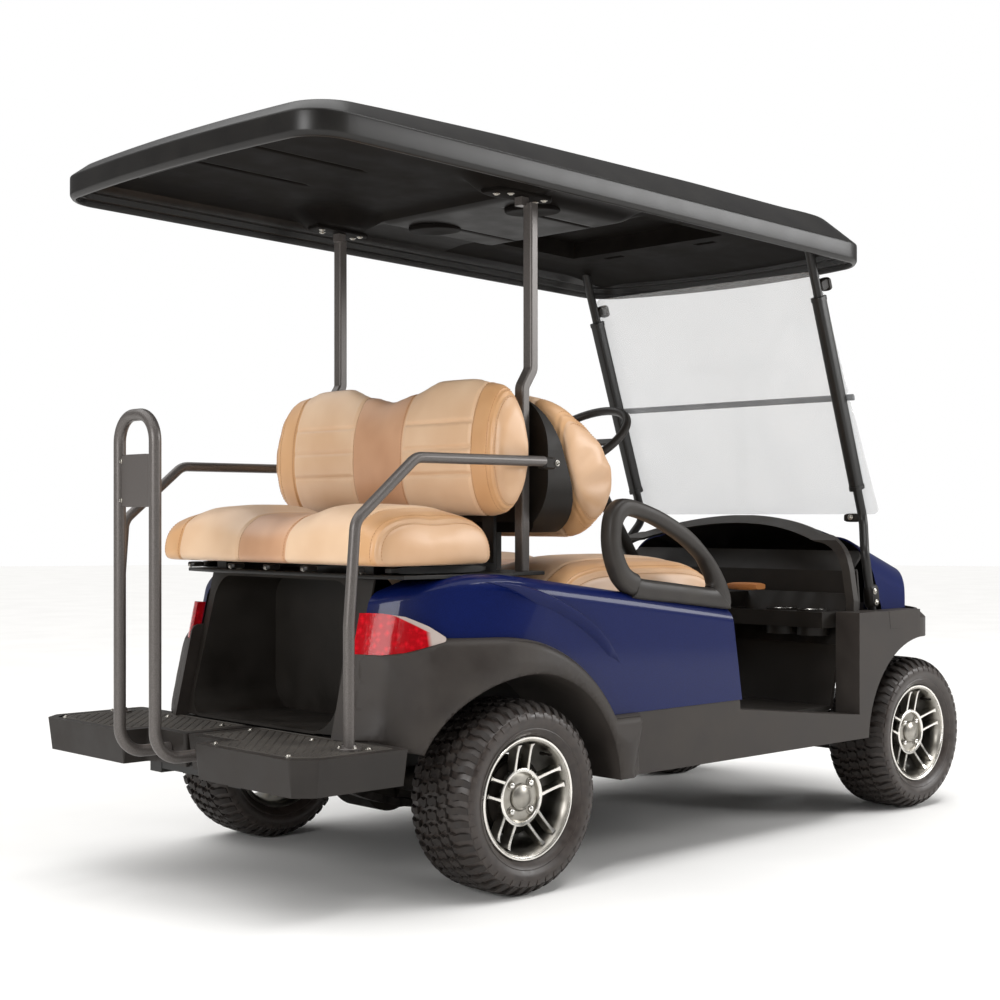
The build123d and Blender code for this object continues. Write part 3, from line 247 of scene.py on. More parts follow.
# ---------------------------------------------------------------- finishes
def body_paint(dark, light):
    """Metallic gloss over moulded panels: fine flake under a clear coat outside, bare black inside.

    A face is outside when it looks away from a line through the middle of the body.
    """
    tree = begin("Metallic_Gloss_Paint")
    where = add(tree, "TexCoord")
    colour, dull = mottle(tree, where, 1.6, dark, light, (0.30, 0.38))    # 0.1 mm flake, drawn coarser
    split = add(tree, "SeparateXYZ", [("Vector", where, "Object")])
    back, front = at(1000, 0, 0).x, at(1200, 0, 0).x
    heart = add(tree, "MapRange", [("Value", split, "X")],
                [("From Min", back), ("From Max", front),
                 ("To Min", at(300, 0, 0).x), ("To Max", at(1500, 0, 0).x)])
    core = add(tree, "CombineXYZ", [("X", heart, "Result")], [("Z", 0.6)])
    reach = add(tree, "VectorMath", [(0, where, "Object"), (1, core, "Vector")], operation="SUBTRACT")
    face = add(tree, "NewGeometry")
    outward = add(tree, "VectorMath", [(0, reach, "Vector"), (1, face, "True Normal")],
                  operation="DOT_PRODUCT")
    outside = add(tree, "MapRange", [("Value", outward, "Value")], [("From Min", -0.02), ("From Max", 0.0)])
    both = add(tree, "Mix", [(0, outside, "Result"), (7, colour, "Color")], [(6, hexa("#14110F"))],
               data_type="RGBA")
    peel = add(tree, "TexNoise", [("Vector", where, "Object")],
               [("Scale", 1 / (9 * MM)), ("Detail", 1.0)])                  # orange peel of the coat
    skin = add(tree, "Bump", [("Height", peel, "Fac")], [("Strength", 0.2), ("Distance", 0.03 * MM)])
    close(tree, [("Base Color", both, 2), ("Roughness", dull, "Result"), ("Normal", skin, "Normal")],
          [("IOR", 1.5), ("Specular IOR Level", 0.08), ("Coat Weight", 0.22), ("Coat Roughness", 0.04)])


def grained(name, dark, light, patch_mm, rough, relief, sockets, detail=3.0):
    """Patchy colour over a fine relief; relief is (texture, size in mm, detail, strength, depth in mm)."""
    tree = begin(name)
    where = add(tree, "TexCoord")
    colour, dull = mottle(tree, where, patch_mm, dark, light, rough, detail)
    texture, size_mm, fineness, strength, depth_mm = relief
    if texture == "Noise":
        grain, height = add(tree, "TexNoise", [("Vector", where, "Object")],
                            [("Scale", 1 / (size_mm * MM)), ("Detail", fineness)]), "Fac"
    else:
        grain, height = add(tree, "TexVoronoi", [("Vector", where, "Object")],
                            [("Scale", 1 / (size_mm * MM))], feature="SMOOTH_F1"), "Distance"
    skin = add(tree, "Bump", [("Height", grain, height)],
               [("Strength", strength), ("Distance", depth_mm * MM)])
    close(tree, [("Base Color", colour, "Color"), ("Roughness", dull, "Result"),
                 ("Normal", skin, "Normal")], sockets)


def moulded(name, dark, light, grain_mm, depth, rough=(0.42, 0.62), gloss=0.3):
    """Injection-moulded polypropylene or ABS: leather-like grain that breaks the light up softly."""
    grained(name, dark, light, 90, rough, ("Cells", grain_mm, 0, 0.5, depth),
            [("IOR", 1.49), ("Specular IOR Level", gloss)])


def coated_steel(name, dark, light, rough=(0.34, 0.46), metallic=0.35):
    """Powder-coated steel tube: grains melted to a 1 to 3 mm ripple, with a satin line along each bar."""
    grained(name, dark, light, 2.5, rough, ("Noise", 2.5, 3.0, 0.3, 0.05),
            [("Metallic", metallic), ("IOR", 1.5), ("Coat Weight", 0.15), ("Coat Roughness", 0.25)])


def rubber(name, dark, light, rough):
    """Vulcanised tyre rubber: brown-black, dull on the lugs, with a faint bloom."""
    grained(name, dark, light, 18, rough, ("Noise", 1.5, 2.0, 0.5, 0.08), [("IOR", 1.52)], 4.0)


def alloy(name, dark, light, rough, mark_mm, depth):
    """Cast aluminium under lacquer: turning marks where machined, a fine cast skin elsewhere."""
    grained(name, dark, light, 30, rough, ("Noise", mark_mm, 3.0, 0.35, depth),
            [("Metallic", 1.0), ("Coat Weight", 0.3), ("Coat Roughness", 0.12)])


def raw_metal(name, dark, light, rough, pit_mm, depth=0.25):
    """Plain steel or iron: a mottled skin with casting pits and dull patches."""
    grained(name, dark, light, pit_mm * 5, rough, ("Noise", pit_mm, 4.0, 0.4, depth),
            [("Metallic", 1.0)], 5.0)


def sewn_vinyl(name, zones, edges):
    """Marine vinyl on foam: fine pebbled hide in sewn panels; zones are colour pairs out from the middle."""
    tree = begin(name)
    where = add(tree, "TexCoord")
    split = add(tree, "SeparateXYZ", [("Vector", where, "Object")])
    out = add(tree, "Math", [(0, split, "Y")], operation="ABSOLUTE")
    mixed, output = None, None
    for k, (dark, light) in enumerate(zones):
        colour, dull = mottle(tree, where, 140, dark, light, (0.36, 0.48), 2.0)
        if mixed is None:
            mixed, output = colour, "Color"
            continue
        step = add(tree, "Math", [(0, out, "Value")], [(1, edges[k - 1] * MM)], operation="GREATER_THAN")
        inner, plug = mixed, output
        mixed = add(tree, "Mix", data_type="RGBA")
        tree.links.new(step.outputs["Value"], mixed.inputs[0])
        tree.links.new(inner.outputs[plug], mixed.inputs[6])
        tree.links.new(colour.outputs["Color"], mixed.inputs[7])
        output = 2
    pebble = add(tree, "TexVoronoi", [("Vector", where, "Object")], [("Scale", 1 / (1.8 * MM))],
                 feature="SMOOTH_F1")             # hide pebbles near 1 mm, drawn at 1.8 mm to show
    wrinkle = add(tree, "TexNoise", [("Vector", where, "Object")],
                  [("Scale", 1 / (26 * MM)), ("Detail", 4.0)])
    fold = add(tree, "Bump", [("Height", wrinkle, "Fac")], [("Strength", 0.25), ("Distance", 1.2 * MM)])
    skin = add(tree, "Bump", [("Height", pebble, "Distance"), ("Normal", fold, "Normal")],
               [("Strength", 0.5), ("Distance", 0.12 * MM)])
    close(tree, [("Base Color", mixed, output), ("Roughness", dull, "Result"), ("Normal", skin, "Normal")],
          [("IOR", 1.5), ("Sheen Weight", 0.12), ("Sheen Roughness", 0.5), ("Coat Weight", 0.08),
           ("Coat Roughness", 0.3)])


def clear_sheet(name, dark, light, alpha):
    """Cast acrylic: clear with a faint grey body, polished faces that catch sharp glints."""
    tree = begin(name)
    where = add(tree, "TexCoord")
    colour, dull = mottle(tree, where, 160, dark, light, (0.02, 0.07), 2.0)
    close(tree, [("Base Color", colour, "Color"), ("Roughness", dull, "Result")],
          [("Alpha", alpha), ("IOR", 1.49)])


def red_lens():
    """Injection-moulded acrylic lamp: deep red over small prisms, each painted lighter red at its middle as a
    glint and darker at its edges as shade, with a clear rim and tip.
    """
    tree = begin("Moulded_Red_Lens")
    where = add(tree, "TexCoord")
    split = add(tree, "SeparateXYZ", [("Vector", where, "Object")])
    prisms = add(tree, "TexVoronoi", [("Vector", where, "Object")], [("Scale", 1 / (14 * MM))],
                 distance="MANHATTAN")                                      # 14 mm prisms behind the skin
    # Painted glint and shade: the red runs lighter at each prism's middle and darker toward its edges, over the
    # lens's own deep red.
    red = add(tree, "ValToRGB", [("Fac", prisms, "Distance")])
    for element, place, colour in zip(red.color_ramp.elements, (0.1, 0.8), ("#CE0E1E", "#A30713")):
        element.position = place
        element.color = hexa(colour)
    slope = add(tree, "Math", [(0, split, "X"), (2, split, "Z")], [(1, 0.78)], operation="MULTIPLY_ADD")
    line = at(-190, 0, 0).x * 0.78 + at(0, 0, 597).z
    rim = add(tree, "MapRange", [("Value", slope, "Value")],
              [("From Min", line - 0.011), ("From Max", line - 0.008)])
    edge = at(-226, 0, 0).x
    tip = add(tree, "MapRange", [("Value", split, "X")],
              [("From Min", edge - 0.004), ("From Max", edge + 0.004)])
    bare = add(tree, "Math", [(0, rim, "Result"), (1, tip, "Result")], operation="MAXIMUM")
    both = add(tree, "Mix", [(0, bare, "Value"), (6, red, "Color")], [(7, hexa("#B3A69F"))], data_type="RGBA")
    skin = add(tree, "Bump", [("Height", prisms, "Distance")], [("Strength", 0.3), ("Distance", 0.6 * MM)])
    close(tree, [("Base Color", both, 2), ("Normal", skin, "Normal")],
          [("Roughness", 0.16), ("IOR", 1.49), ("Specular IOR Level", 0.1), ("Coat Weight", 0.12),
           ("Coat Roughness", 0.05)])


def make_finishes(tints):
    """Makes every material, in the panel's colours where it has them."""
    body_paint(tints.paint_dark, tints.paint_light)
    moulded("Grained_Charcoal_Polypropylene", tints.trim_dark, tints.trim_light, 2.2, 0.18)
    moulded("Grained_Black_Polypropylene", "#17130F", "#221E1A", 2.2, 0.15, (0.45, 0.65))
    moulded("Thermoformed_Black_ABS", "#131110", "#1B1917", 3.0, 0.10, (0.33, 0.37), 0.34)
    moulded("Thermoformed_Dark_Lining", "#12100F", "#1A1816", 3.0, 0.12, (0.45, 0.6), 0.008)
    moulded("Thermoformed_Satin_Lining", "#12100F", "#1A1816", 3.0, 0.05, (0.34, 0.46), 0.03)
    moulded("Grained_Soft_Foam", "#2A2623", "#36322E", 1.8, 0.15, (0.4, 0.55))
    # Painted shade: the footrest pads take a darker copy of the charcoal moulding, standing for the shade on
    # their rear-facing fronts.
    moulded("Grained_Step_Polypropylene_In_Painted_Shade", "#221E1B", "#2C2825", 2.2, 0.18)
    moulded("Caramel_Tray_Liner", "#B06E3B", "#C9874F", 1.8, 0.1, (0.45, 0.6))
    moulded("Ribbed_Rubber_Mat", "#37332F", "#46423D", 2.0, 0.2, (0.55, 0.75))
    coated_steel("Bronze_Powder_Coated_Steel", "#504B48", "#625D5A")
    coated_steel("Black_Powder_Coated_Steel", "#141312", "#201E1C", (0.4, 0.55))
    rubber("Vulcanised_Rubber_Tread", "#1B1512", "#2B241F", (0.62, 0.82))
    rubber("Vulcanised_Rubber_Sidewall", "#2A221E", "#3A322D", (0.36, 0.5))
    alloy("Machined_Aluminium_Alloy", "#D8D5CE", "#EDEAE4", (0.16, 0.3), 1.2, 0.02)
    alloy("Silver_Lacquered_Aluminium", "#8E8A82", "#A8A49C", (0.3, 0.42), 3.0, 0.06)
    raw_metal("Cast_Iron_Running_Gear", "#1D1B19", "#34302C", (0.55, 0.8), 6.0)
    raw_metal("Oiled_Spring_Steel", "#2A2827", "#4A4643", (0.4, 0.6), 4.0)
    raw_metal("Zinc_Plated_Fastener", "#A09C94", "#C9C5BD", (0.25, 0.4), 2.0, 0.02)
    raw_metal("Chromed_Steel", "#DAD8D4", "#F2F0EC", (0.06, 0.14), 3.0, 0.01)
    clear_sheet("Cast_Acrylic_Sheet", "#D2D4D5", "#DEDFE0", 0.24)
    clear_sheet("Soft_Grey_Vinyl_Hinge", "#76787A", "#8E9092", 0.75)
    clear_sheet("Polycarbonate_Lamp_Lens", "#DDE2E6", "#E9EDF0", 0.35)
    red_lens()
    brown = (tints.centre_dark, tints.centre_light)
    beige = (tints.insert_dark, tints.insert_light)
    caramel = (tints.lobe_dark, tints.lobe_light)
    ends = (tints.end_dark, tints.end_light)
    sewn_vinyl("Sewn_Marine_Vinyl_Panels", (brown, beige, caramel, ends), (97.0, 354.0, 431.0))
    coated_steel("Spun_Polyester_Thread", "#9C6B3C", "#C08E5A", (0.6, 0.8), 0.0)


NODE_FINISH = {
    "Metallic_Gloss_Paint": ("body_sides", "front_cowl"),
    "Grained_Charcoal_Polypropylene": ("rear_fenders", "rocker_panels", "bumper"),
    # The footrest pads' darker moulding is painted shade.
    "Grained_Step_Polypropylene_In_Painted_Shade": ("footrest_pads",),
    "Grained_Black_Polypropylene": ("bagwell", "seat_deck", "seat_pod", "floor_pan", "dash",
                                    "seat_back_panel", "steering_column", "battery_pack"),
    "Grained_Soft_Foam": ("armrests", "dash_hoop", "steering_wheel"),
    "Thermoformed_Black_ABS": ("roof",),
    "Bronze_Powder_Coated_Steel": ("rear_posts", "hip_rails", "grab_bar"),
    "Black_Powder_Coated_Steel": ("front_posts", "chassis_frame", "seat_back_brackets",
                                  "rear_seat_frame", "footrest_frame", "pedals"),
    "Cast_Iron_Running_Gear": ("rear_axle", "front_axle", "knuckle_right", "knuckle_left"),
    "Oiled_Spring_Steel": ("leaf_springs", "tie_rod"),
    "Cast_Acrylic_Sheet": ("windshield_lower", "windshield_upper"),
    "Polycarbonate_Lamp_Lens": ("headlamps",),
    "Moulded_Red_Lens": ("tail_lamps",),
}


def dress_nodes():
    """Gives every CAD node that stays its finish."""
    for finish, names in NODE_FINISH.items():
        for name in names:
            mesh = NODES[name].data
            if not mesh.materials:
                mesh.materials.append(FINISHES[finish])
            for k in range(len(mesh.materials)):
                mesh.materials[k] = FINISHES[finish]


# ---------------------------------------------------------------- tyres
TYRE_R = 226.0
TREAD_FLAT, SHOULDER = 56, 76       # distances from the middle plane where the crown bends down
SIDEWALL = ((128.6, 66), (134, 73), (143.6, 79.5), (150, 88), (158, 94), (161, 95.5), (163, 94.5), (172, 99.5),
            (181, 101.2), (190, 100.6), (197, 97.6), (201.5, 93.0), (204, 88.0))
TREAD_ROWS = (      # inner y, outer y, lug length in pitch, start in pitch, zigzag in pitch
    (-15.0, 15.0, 0.60, 0.00, 0.16),
    (19.0, 46.0, 0.58, 0.30, 0.18),
    (50.0, 95.0, 0.54, 0.62, 0.12),
    (-46.0, -19.0, 0.58, 0.80, -0.18),
    (-95.0, -50.0, 0.54, 0.12, -0.12),
)


def crown(y):
    """Radius of the tread's outer face at a distance from the wheel's middle plane."""
    a = abs(y)
    if a <= TREAD_FLAT:
        return TYRE_R - 0.4 - (a / TREAD_FLAT) ** 2 * 1.6
    if a <= SHOULDER:
        return TYRE_R - 2.0 - ((a - TREAD_FLAT) / 20) ** 1.6 * 5.0
    return TYRE_R - 7.0 - ((a - SHOULDER) / 20) ** 1.3 * 17.0


def tyre_form(sizes, centre, side):
    """Carcass, lugs in five rows and a ringed sidewall."""
    form = Build()
    place = about_axle(centre, side)
    deep = sizes.tread_depth / MM
    outer = [*SIDEWALL, *((crown(y) - deep, y) for y in (80, 66, 40, 14))]
    form.lathe(outer + [(r, -y) for r, y in reversed(outer)], place, 120, closed=True, mark=1)
    pitch = TURN / sizes.tread_lugs
    slope = pitch * 0.03
    for lug in range(sizes.tread_lugs):
        for y0, y1, long, start, zag in TREAD_ROWS:
            rings = []
            for k in range(7):
                f = k / 6
                y = y0 + (y1 - y0) * f
                sway = zag * (abs(((f * 1.5) % 1) * 2 - 1) - 0.5)
                a0 = (lug + start + sway) * pitch
                a1 = a0 + long * pitch
                top = crown(y)
                low = top - deep - 1.5
                rings.append([place(low, a0 - slope, y), place(top, a0 + slope, y),
                              place(top, a1 - slope, y), place(low, a1 + slope, y)])
            form.grid(rings, caps=True)
    for lug in range(sizes.tread_lugs):                        # short bars under the shoulder
        a0 = (lug + 0.2) * pitch
        a1 = a0 + pitch * 0.4
        for s in (1, -1):
            form.grid([[place(r, a0, s * (y - 2)), place(r, a0, s * (y + 0.35)),
                        place(r, a1, s * (y + 0.35)), place(r, a1, s * (y - 2))]
                       for r, y in ((199, 98.2), (191, 101.4), (186, 101.6))], caps=True, mark=1)
    return form


# ---------------------------------------------------------------- wheels
# Outlines are (radius, height) from the wheel's middle plane.
RIM_LIP = ((142.9, 79.4), (143, 83.5), (141.5, 85), (138.5, 85), (136.6, 83.6), (136.0, 81.5), (131.5, 79),
           (140, 77))
RIM_WELL = ((136.0, 81.4), (132.5, 80.4), (129.5, 76), (126.5, 70), (124.5, 62), (123.4, 50), (123.2, -58),
            (128, -74), (136, -83), (141, -85), (143, -83), (142.6, -79.5), (135.5, -77.5), (128, -66),
            (127.9, 66), (135.5, 77.8))
HUB_RING = ((57.5, 50), (57.5, 58.5), (59, 60.6), (64.5, 61.6), (66.8, 60.4), (67.4, 57), (66.0, 40), (58, 38))
HUB_FLOOR = ((57.6, 40), (57.6, 52), (50, 54.5), (33, 55.5), (32, 50), (32, 40))
HUB_CAP = ((31.8, 44), (31.8, 57), (30.6, 61), (28.8, 63.2), (25.5, 64.2), (24.6, 63.4), (20, 66.0), (12, 68.2),
           (0.5, 69.2))
NUT = ((9.2, 49), (9.2, 52), (8.4, 53), (8.2, 60), (7.2, 62.5), (4.5, 64.2), (0.5, 64.6))
NUT_SEAT = ((12.5, 46), (12.5, 56.4), (11.6, 57.2), (10.8, 56.4), (10.4, 46))
DRUM = ((20, 42), (80, 42), (86, 38), (88, 30), (88, 0), (84, -3), (20, -3))
VALVE = ((4.2, 52), (4.4, 62), (3.2, 66), (2.8, 78), (3.4, 78.4), (3.4, 86), (0.5, 87))
SPOKE = ((55, 59, 5.5), (63, 61, 4.2), (75, 63, 3.7), (95, 67, 3.5), (110, 70.5, 3.7), (118, 73.5, 4.6),
         (123.5, 77, 7.0))      # radius, height of the face, half width at a spoke width of 7
SPOKE_APART = 20.5
NUT_CIRCLE_R = 43
VALVE_R, VALVE_TURN = 117, 0.63
BRIGHT, SILVER, IRON, CHROME = range(4)


def rim_form(sizes, centre, side):
    """Barrel with a bright lip, thin paired spokes, hub ring, nuts, blank cap and brake drum."""
    form = Build()
    place = about_axle(centre, side)
    for outline, steps, mark in ((RIM_LIP, 96, BRIGHT), (RIM_WELL, 96, SILVER), (HUB_RING, 72, BRIGHT),
                                 (HUB_FLOOR, 72, SILVER)):
        form.lathe(outline, place, steps, closed=True, mark=mark)
    form.lathe(HUB_CAP, place, 60, mark=SILVER)
    wide, deep = sizes.spoke_width / MM, sizes.spoke_depth / MM
    for k in range(sizes.spoke_pairs):
        a = TURN * k / sizes.spoke_pairs
        radial = Vector((math.sin(a), 0, math.cos(a)))
        for hand in (-1, 1):
            across = Vector((math.cos(a), 0, -math.sin(a))) * hand
            face, flank = [], []
            for r, top, half in SPOKE:
                w = half * wide / 7
                ring = [centre + (radial * r + across * (SPOKE_APART + u) + Vector((0, side, 0)) * h) * MM
                        for u, h in ((-w + 1, top), (w - 1, top), (w, top - 1.2), (w + 1.4, top - deep),
                                     (-w - 1.4, top - deep), (-w, top - 1.2))]
                face.append(ring[:2])
                flank.append(ring[1:] + ring[:1])
            form.grid(face, wrap=False, mark=BRIGHT)
            form.grid(flank, wrap=False, mark=SILVER)
    for k in range(4):
        a = math.radians(45 + 90 * k)
        here = about_axle(centre + Vector((math.sin(a), 0, math.cos(a))) * NUT_CIRCLE_R * MM, side)
        form.lathe(NUT_SEAT, here, 32, closed=True, mark=SILVER)
        form.lathe([(10.6, 46), (10.6, 50)], here, 24, mark=IRON)
        form.lathe(NUT[:3], here, 24, mark=CHROME)
        form.lathe(NUT[2:], here, 6, mark=CHROME)
    form.lathe(DRUM, place, 72, closed=True, mark=IRON)
    for r in (87.2, 84.0):
        form.lathe([(r, 34), (r + 2.4, 33), (r + 2.4, 27), (r, 26)], place, 72, closed=True, mark=IRON)
    stem = about_axle(centre + Vector((math.sin(VALVE_TURN), 0, math.cos(VALVE_TURN))) * VALVE_R * MM, side)
    form.lathe(VALVE, stem, 16, mark=IRON)
    return form


# ---------------------------------------------------------------- seats
def side_ring(x0, x1, z0, z1, base, count=56):
    """Side view of a cushion in mm: a crowned top over a flat, tucked bottom."""
    middle_x, half = (x0 + x1) / 2, (x1 - x0) / 2
    ring = []
    for k in range(count):
        t = TURN * (k + 0.5) / count
        power, tall = (2 / 3.2, z1 - base) if t < math.pi else (2 / 6.0, base - z0)
        u, v = squared(t, power)
        ring.append((middle_x + half * u, base + tall * v))
    return ring


def level(table, y):
    """A height read from (distance, height) pairs by smooth steps."""
    a = abs(y)
    for (y0, z0), (y1, z1) in zip(table, table[1:]):
        if a <= y1:
            return z0 + (z1 - z0) * smooth_step((a - y0) / (y1 - y0))
    return table[-1][1]


def stations(half, corner):
    """(y, how far the outline has drawn in) from one end to the other."""
    rows = []
    for k in range(8):
        a = math.radians(6 + k * 12)
        rows.append((half - corner + corner * math.sin(a), corner * (1 - math.cos(a))))
    flat = [(y, 0.0) for y in np.linspace(-(half - corner), half - corner, 45)]
    return [(-y, c) for y, c in reversed(rows)] + flat + rows


PAD_HALF = 455.0


def cushion_form(x0, x1, z0, crown_table, corner, slack):
    """A bench cushion with two crowned lobes and round plan corners, a little smaller than its cover."""
    form = Build()
    rows = []
    for y, draw in stations(PAD_HALF - slack, corner):
        top = level(crown_table, y) - slack - draw * 0.45
        ring = side_ring(x0 + slack + draw, x1 - slack - draw * 0.8, z0 + 1, top, z0 + 13)
        rows.append([at(x, y, z) for x, z in ring])
    form.grid(rows, caps=True)
    return form


def back_form(section, crown_table, foot, corner, slack):
    """A seat back: section(height fraction) gives its rear and face; round ends, two crowned lobes."""
    form = Build()
    rows = []
    for y, draw in stations(PAD_HALF - slack, corner):
        top = level(crown_table, y) - slack - draw
        low = foot + slack + draw * 0.9
        count = 48
        ring = []
        for k in range(count):
            u, v = squared(TURN * (k + 0.5) / count, 0.72, 0.62)
            high = (low + top) / 2 + (top - low) / 2 * v
            rear, face = section((high - foot) / (crown_table[2][1] - foot))
            mid, half = (rear + face) / 2, (face - rear) / 2
            half -= math.copysign(min(draw, 30) * 0.35 + slack * 0.6, half)
            ring.append((mid + half * u, high))
        rows.append([at(x, y, z) for x, z in ring])
    form.grid(rows, caps=True)
    return form


def apply_modifiers(obj):
    """Bakes every modifier on a piece into its mesh."""
    shape = bpy.data.meshes.new_from_object(obj.evaluated_get(bpy.context.evaluated_depsgraph_get()))
    obj.modifiers.clear()
    old = obj.data
    obj.data = shape
    bpy.data.meshes.remove(old)


SWELL_FRAMES = 20
STITCH_GAP = 2.2
INSERT = (100, 354)         # the ribbed inserts of a seat back, as distances from the middle
CHANNEL_DEPTH, CHANNEL_WIDE = 8, 4


def swell(obj, sizes, held):
    """Remeshes a pad, blows it up as cloth with held(point) kept still, and smooths it once."""
    remesh = obj.modifiers.new("Even_Mesh", "REMESH")
    remesh.mode = "VOXEL"
    remesh.voxel_size = sizes.pad_mesh
    apply_modifiers(obj)
    before = np.array([v.co for v in obj.data.vertices])
    still = obj.vertex_groups.new(name="Held")
    still.add([v.index for v in obj.data.vertices if held(v.co)], 1.0, "ADD")
    cloth = obj.modifiers.new("Swell", "CLOTH").settings
    cloth.use_pressure = True
    cloth.uniform_pressure_force = sizes.pad_pressure
    cloth.quality = 4
    cloth.tension_stiffness = 20
    cloth.compression_stiffness = 20
    cloth.bending_stiffness = 6
    cloth.vertex_group_mass = "Held"
    cloth.effector_weights.gravity = 0
    for step in range(1, SWELL_FRAMES + 1):
        bpy.context.scene.frame_set(step)
    apply_modifiers(obj)
    bpy.context.scene.frame_set(1)
    move = np.array([v.co for v in obj.data.vertices]) - before
    far = np.linalg.norm(move, axis=1)
    keep = np.minimum(1.0, sizes.pad_swell / np.maximum(far, 1e-9))
    obj.data.vertices.foreach_set("co", (before + move * keep[:, None]).ravel())
    obj.vertex_groups.clear()
    soften = obj.modifiers.new("Soften", "SMOOTH")
    soften.factor = 0.5
    soften.iterations = 14
    obj.modifiers.new("Finer", "SUBSURF").levels = 1
    apply_modifiers(obj)
    obj.data.polygons.foreach_set("use_smooth", [True] * len(obj.data.polygons))


def sew(obj, seams, channels):
    """Presses seams at distances from the middle, and channels across the inserts at given heights."""
    mesh = obj.data
    count = len(mesh.vertices)
    co = np.empty(count * 3)
    no = np.empty(count * 3)
    mesh.vertices.foreach_get("co", co)
    mesh.vertices.foreach_get("normal", no)
    co, no = co.reshape(-1, 3), no.reshape(-1, 3)
    out = np.abs(co[:, 1]) / MM
    sink = np.zeros(count)
    for y, depth, wide in seams:
        sink += depth * np.exp(-((out - y) / wide) ** 2)
    # Channels fade out 4 mm short of the seams on either side of an insert.
    near, far = INSERT
    within_it = 1 / (1 + np.exp(-(out - near - 4) / 2)) / (1 + np.exp((out - far + 4) / 2))
    for z in channels:
        sink += CHANNEL_DEPTH * np.exp(-((co[:, 2] / MM - z) / CHANNEL_WIDE) ** 2) * within_it
    facing = np.clip((0.92 - np.abs(no[:, 1])) / 0.2, 0, 1)      # nothing is pressed into the boxed ends
    co -= no * (sink * facing * MM)[:, None]
    mesh.vertices.foreach_set("co", co.ravel())
    mesh.update()


def stitch(name, pad, lines, sizes, heart, arc):
    """Rows of thread round a pad at distances from the middle, seen from heart over an arc in degrees."""
    tree = BVHTree.FromObject(pad, bpy.context.evaluated_depsgraph_get())
    thread = Build()
    far = 0.7                   # rays start this many metres out
    pitch = sizes.stitch_length + STITCH_GAP * MM
    for y in [s * line for line in lines for s in (1, -1)]:
        last = None
        for t in np.radians(np.linspace(*arc, 1400)):
            ray = Vector((math.cos(t), 0, math.sin(t)))
            hit, normal, face, gap = tree.ray_cast(at(heart[0], y, heart[1]) + ray * far, -ray)
            if hit is None:
                continue
            if last is None or (hit - last).length > pitch:
                if last is not None:
                    ahead = (hit - last).normalized()
                    a = hit - ahead * sizes.stitch_length + normal * 0.2 * MM
                    b = hit + normal * 0.2 * MM
                    thread.bar([a, (a + b) / 2 + normal * 0.6 * MM, b], [0.45, 0.75, 0.45], 5)
                last = hit.copy()
    thread.make(name, ["Spun_Polyester_Thread"], "seat_hide", smooth=60)


def upholster(name, form, node, held, sizes, seams, channels, threads, heart, arc):
    """A swollen vinyl pad that stands for a CAD cushion, with its seams, channels and thread."""
    pad = form.make(name + "_pad", ["Sewn_Marine_Vinyl_Panels"], "seat_hide", smooth=0, stands_for=node)
    swell(pad, sizes, held)
    sew(pad, seams, channels)
    stitch(name + "_stitches", pad, threads, sizes, heart, arc)


# ---------------------------------------------------------------- roof
ROOF_TOP = ((-700, 1750), (-537, 1762), (-331, 1768), (0, 1772), (690, 1764), (1238, 1744), (1380, 1712),
            (1490, 1676), (1600, 1640))
ROOF_HALF = 540             # half the roof's width
ROOF_REAR, ROOF_FRONT = -592, 1398          # where its ends stand at that half width
ROOF_MIDDLE = 403.0
POD = (150, 352)            # x and distance from the middle of the pods over the rear posts
PLATE_FALL = 0.036          # slope of the plates and discs fixed below the lining


def roof_edge(x):
    """Height of the roof's lower edge."""
    return 1674.0 - 0.03618 * (x - ROOF_REAR)


def roof_top(x):
    """Height of the roof's crowned skin, its fold lines softened."""
    xs, zs = zip(*ROOF_TOP)
    return float(np.mean([np.interp(x + d, xs, zs) for d in (-60, -35, -12, 12, 35, 60)]))


def rear_x(y, w=0):
    """The roof's bowed rear end at a distance from the middle, drawn in by w."""
    return ROOF_REAR + w - 30 * (1 - (y / ROOF_HALF) ** 2)


def front_x(y, w=0):
    """The roof's bowed front end at a distance from the middle, drawn in by w."""
    return ROOF_FRONT - w + 88 * (1 - (y / ROOF_HALF) ** 2)


def roof_plan(w):
    """Plan of the roof drawn in by w, as points all the way round."""
    half = ROOF_HALF - w
    r = max(90 - w, 16)
    flat = half - r
    x0, x1 = rear_x(half, w) + r, front_x(half, w) - r
    rows = [(rear_x(y, w), y) for y in np.linspace(-flat, flat, 33)]
    rows += bend_round((rear_x(flat, w), flat), (rear_x(half, w), half), (x0, half))
    rows += [(x, half) for x in np.linspace(x0, x1, 60)]
    rows += bend_round((x1, half), (front_x(half, w), half), (front_x(flat, w), flat))
    rows += [(front_x(y, w), y) for y in np.linspace(flat, -flat, 33)]
    rows += bend_round((front_x(flat, w), -flat), (front_x(half, w), -half), (x1, -half))
    rows += [(x, -half) for x in np.linspace(x1, x0, 60)]
    rows += bend_round((x0, -half), (rear_x(half, w), -half), (rear_x(flat, w), -flat))
    return rows


def bend_round(start, corner, end, steps=11):
    """Points strictly between start and end on a rounded corner."""
    out = []
    for k in range(1, steps):
        t = k / steps
        p = [start[i] * (1 - t) ** 3 + 3 * (start[i] + (corner[i] - start[i]) * 0.56) * t * (1 - t) ** 2
             + 3 * (end[i] + (corner[i] - end[i]) * 0.56) * t * t * (1 - t) + end[i] * t ** 3 for i in (0, 1)]
        out.append(tuple(p))
    return out


def ease(a, b, v):
    """0 below a, 1 above b, smooth between."""
    return smooth_step(min(max((v - a) / (b - a), 0), 1))


def within(low, high, soft, v):
    """1 from low to high, and 0 further than soft outside them."""
    return ease(low - soft, low, v) * (1 - ease(high, high + soft, v))


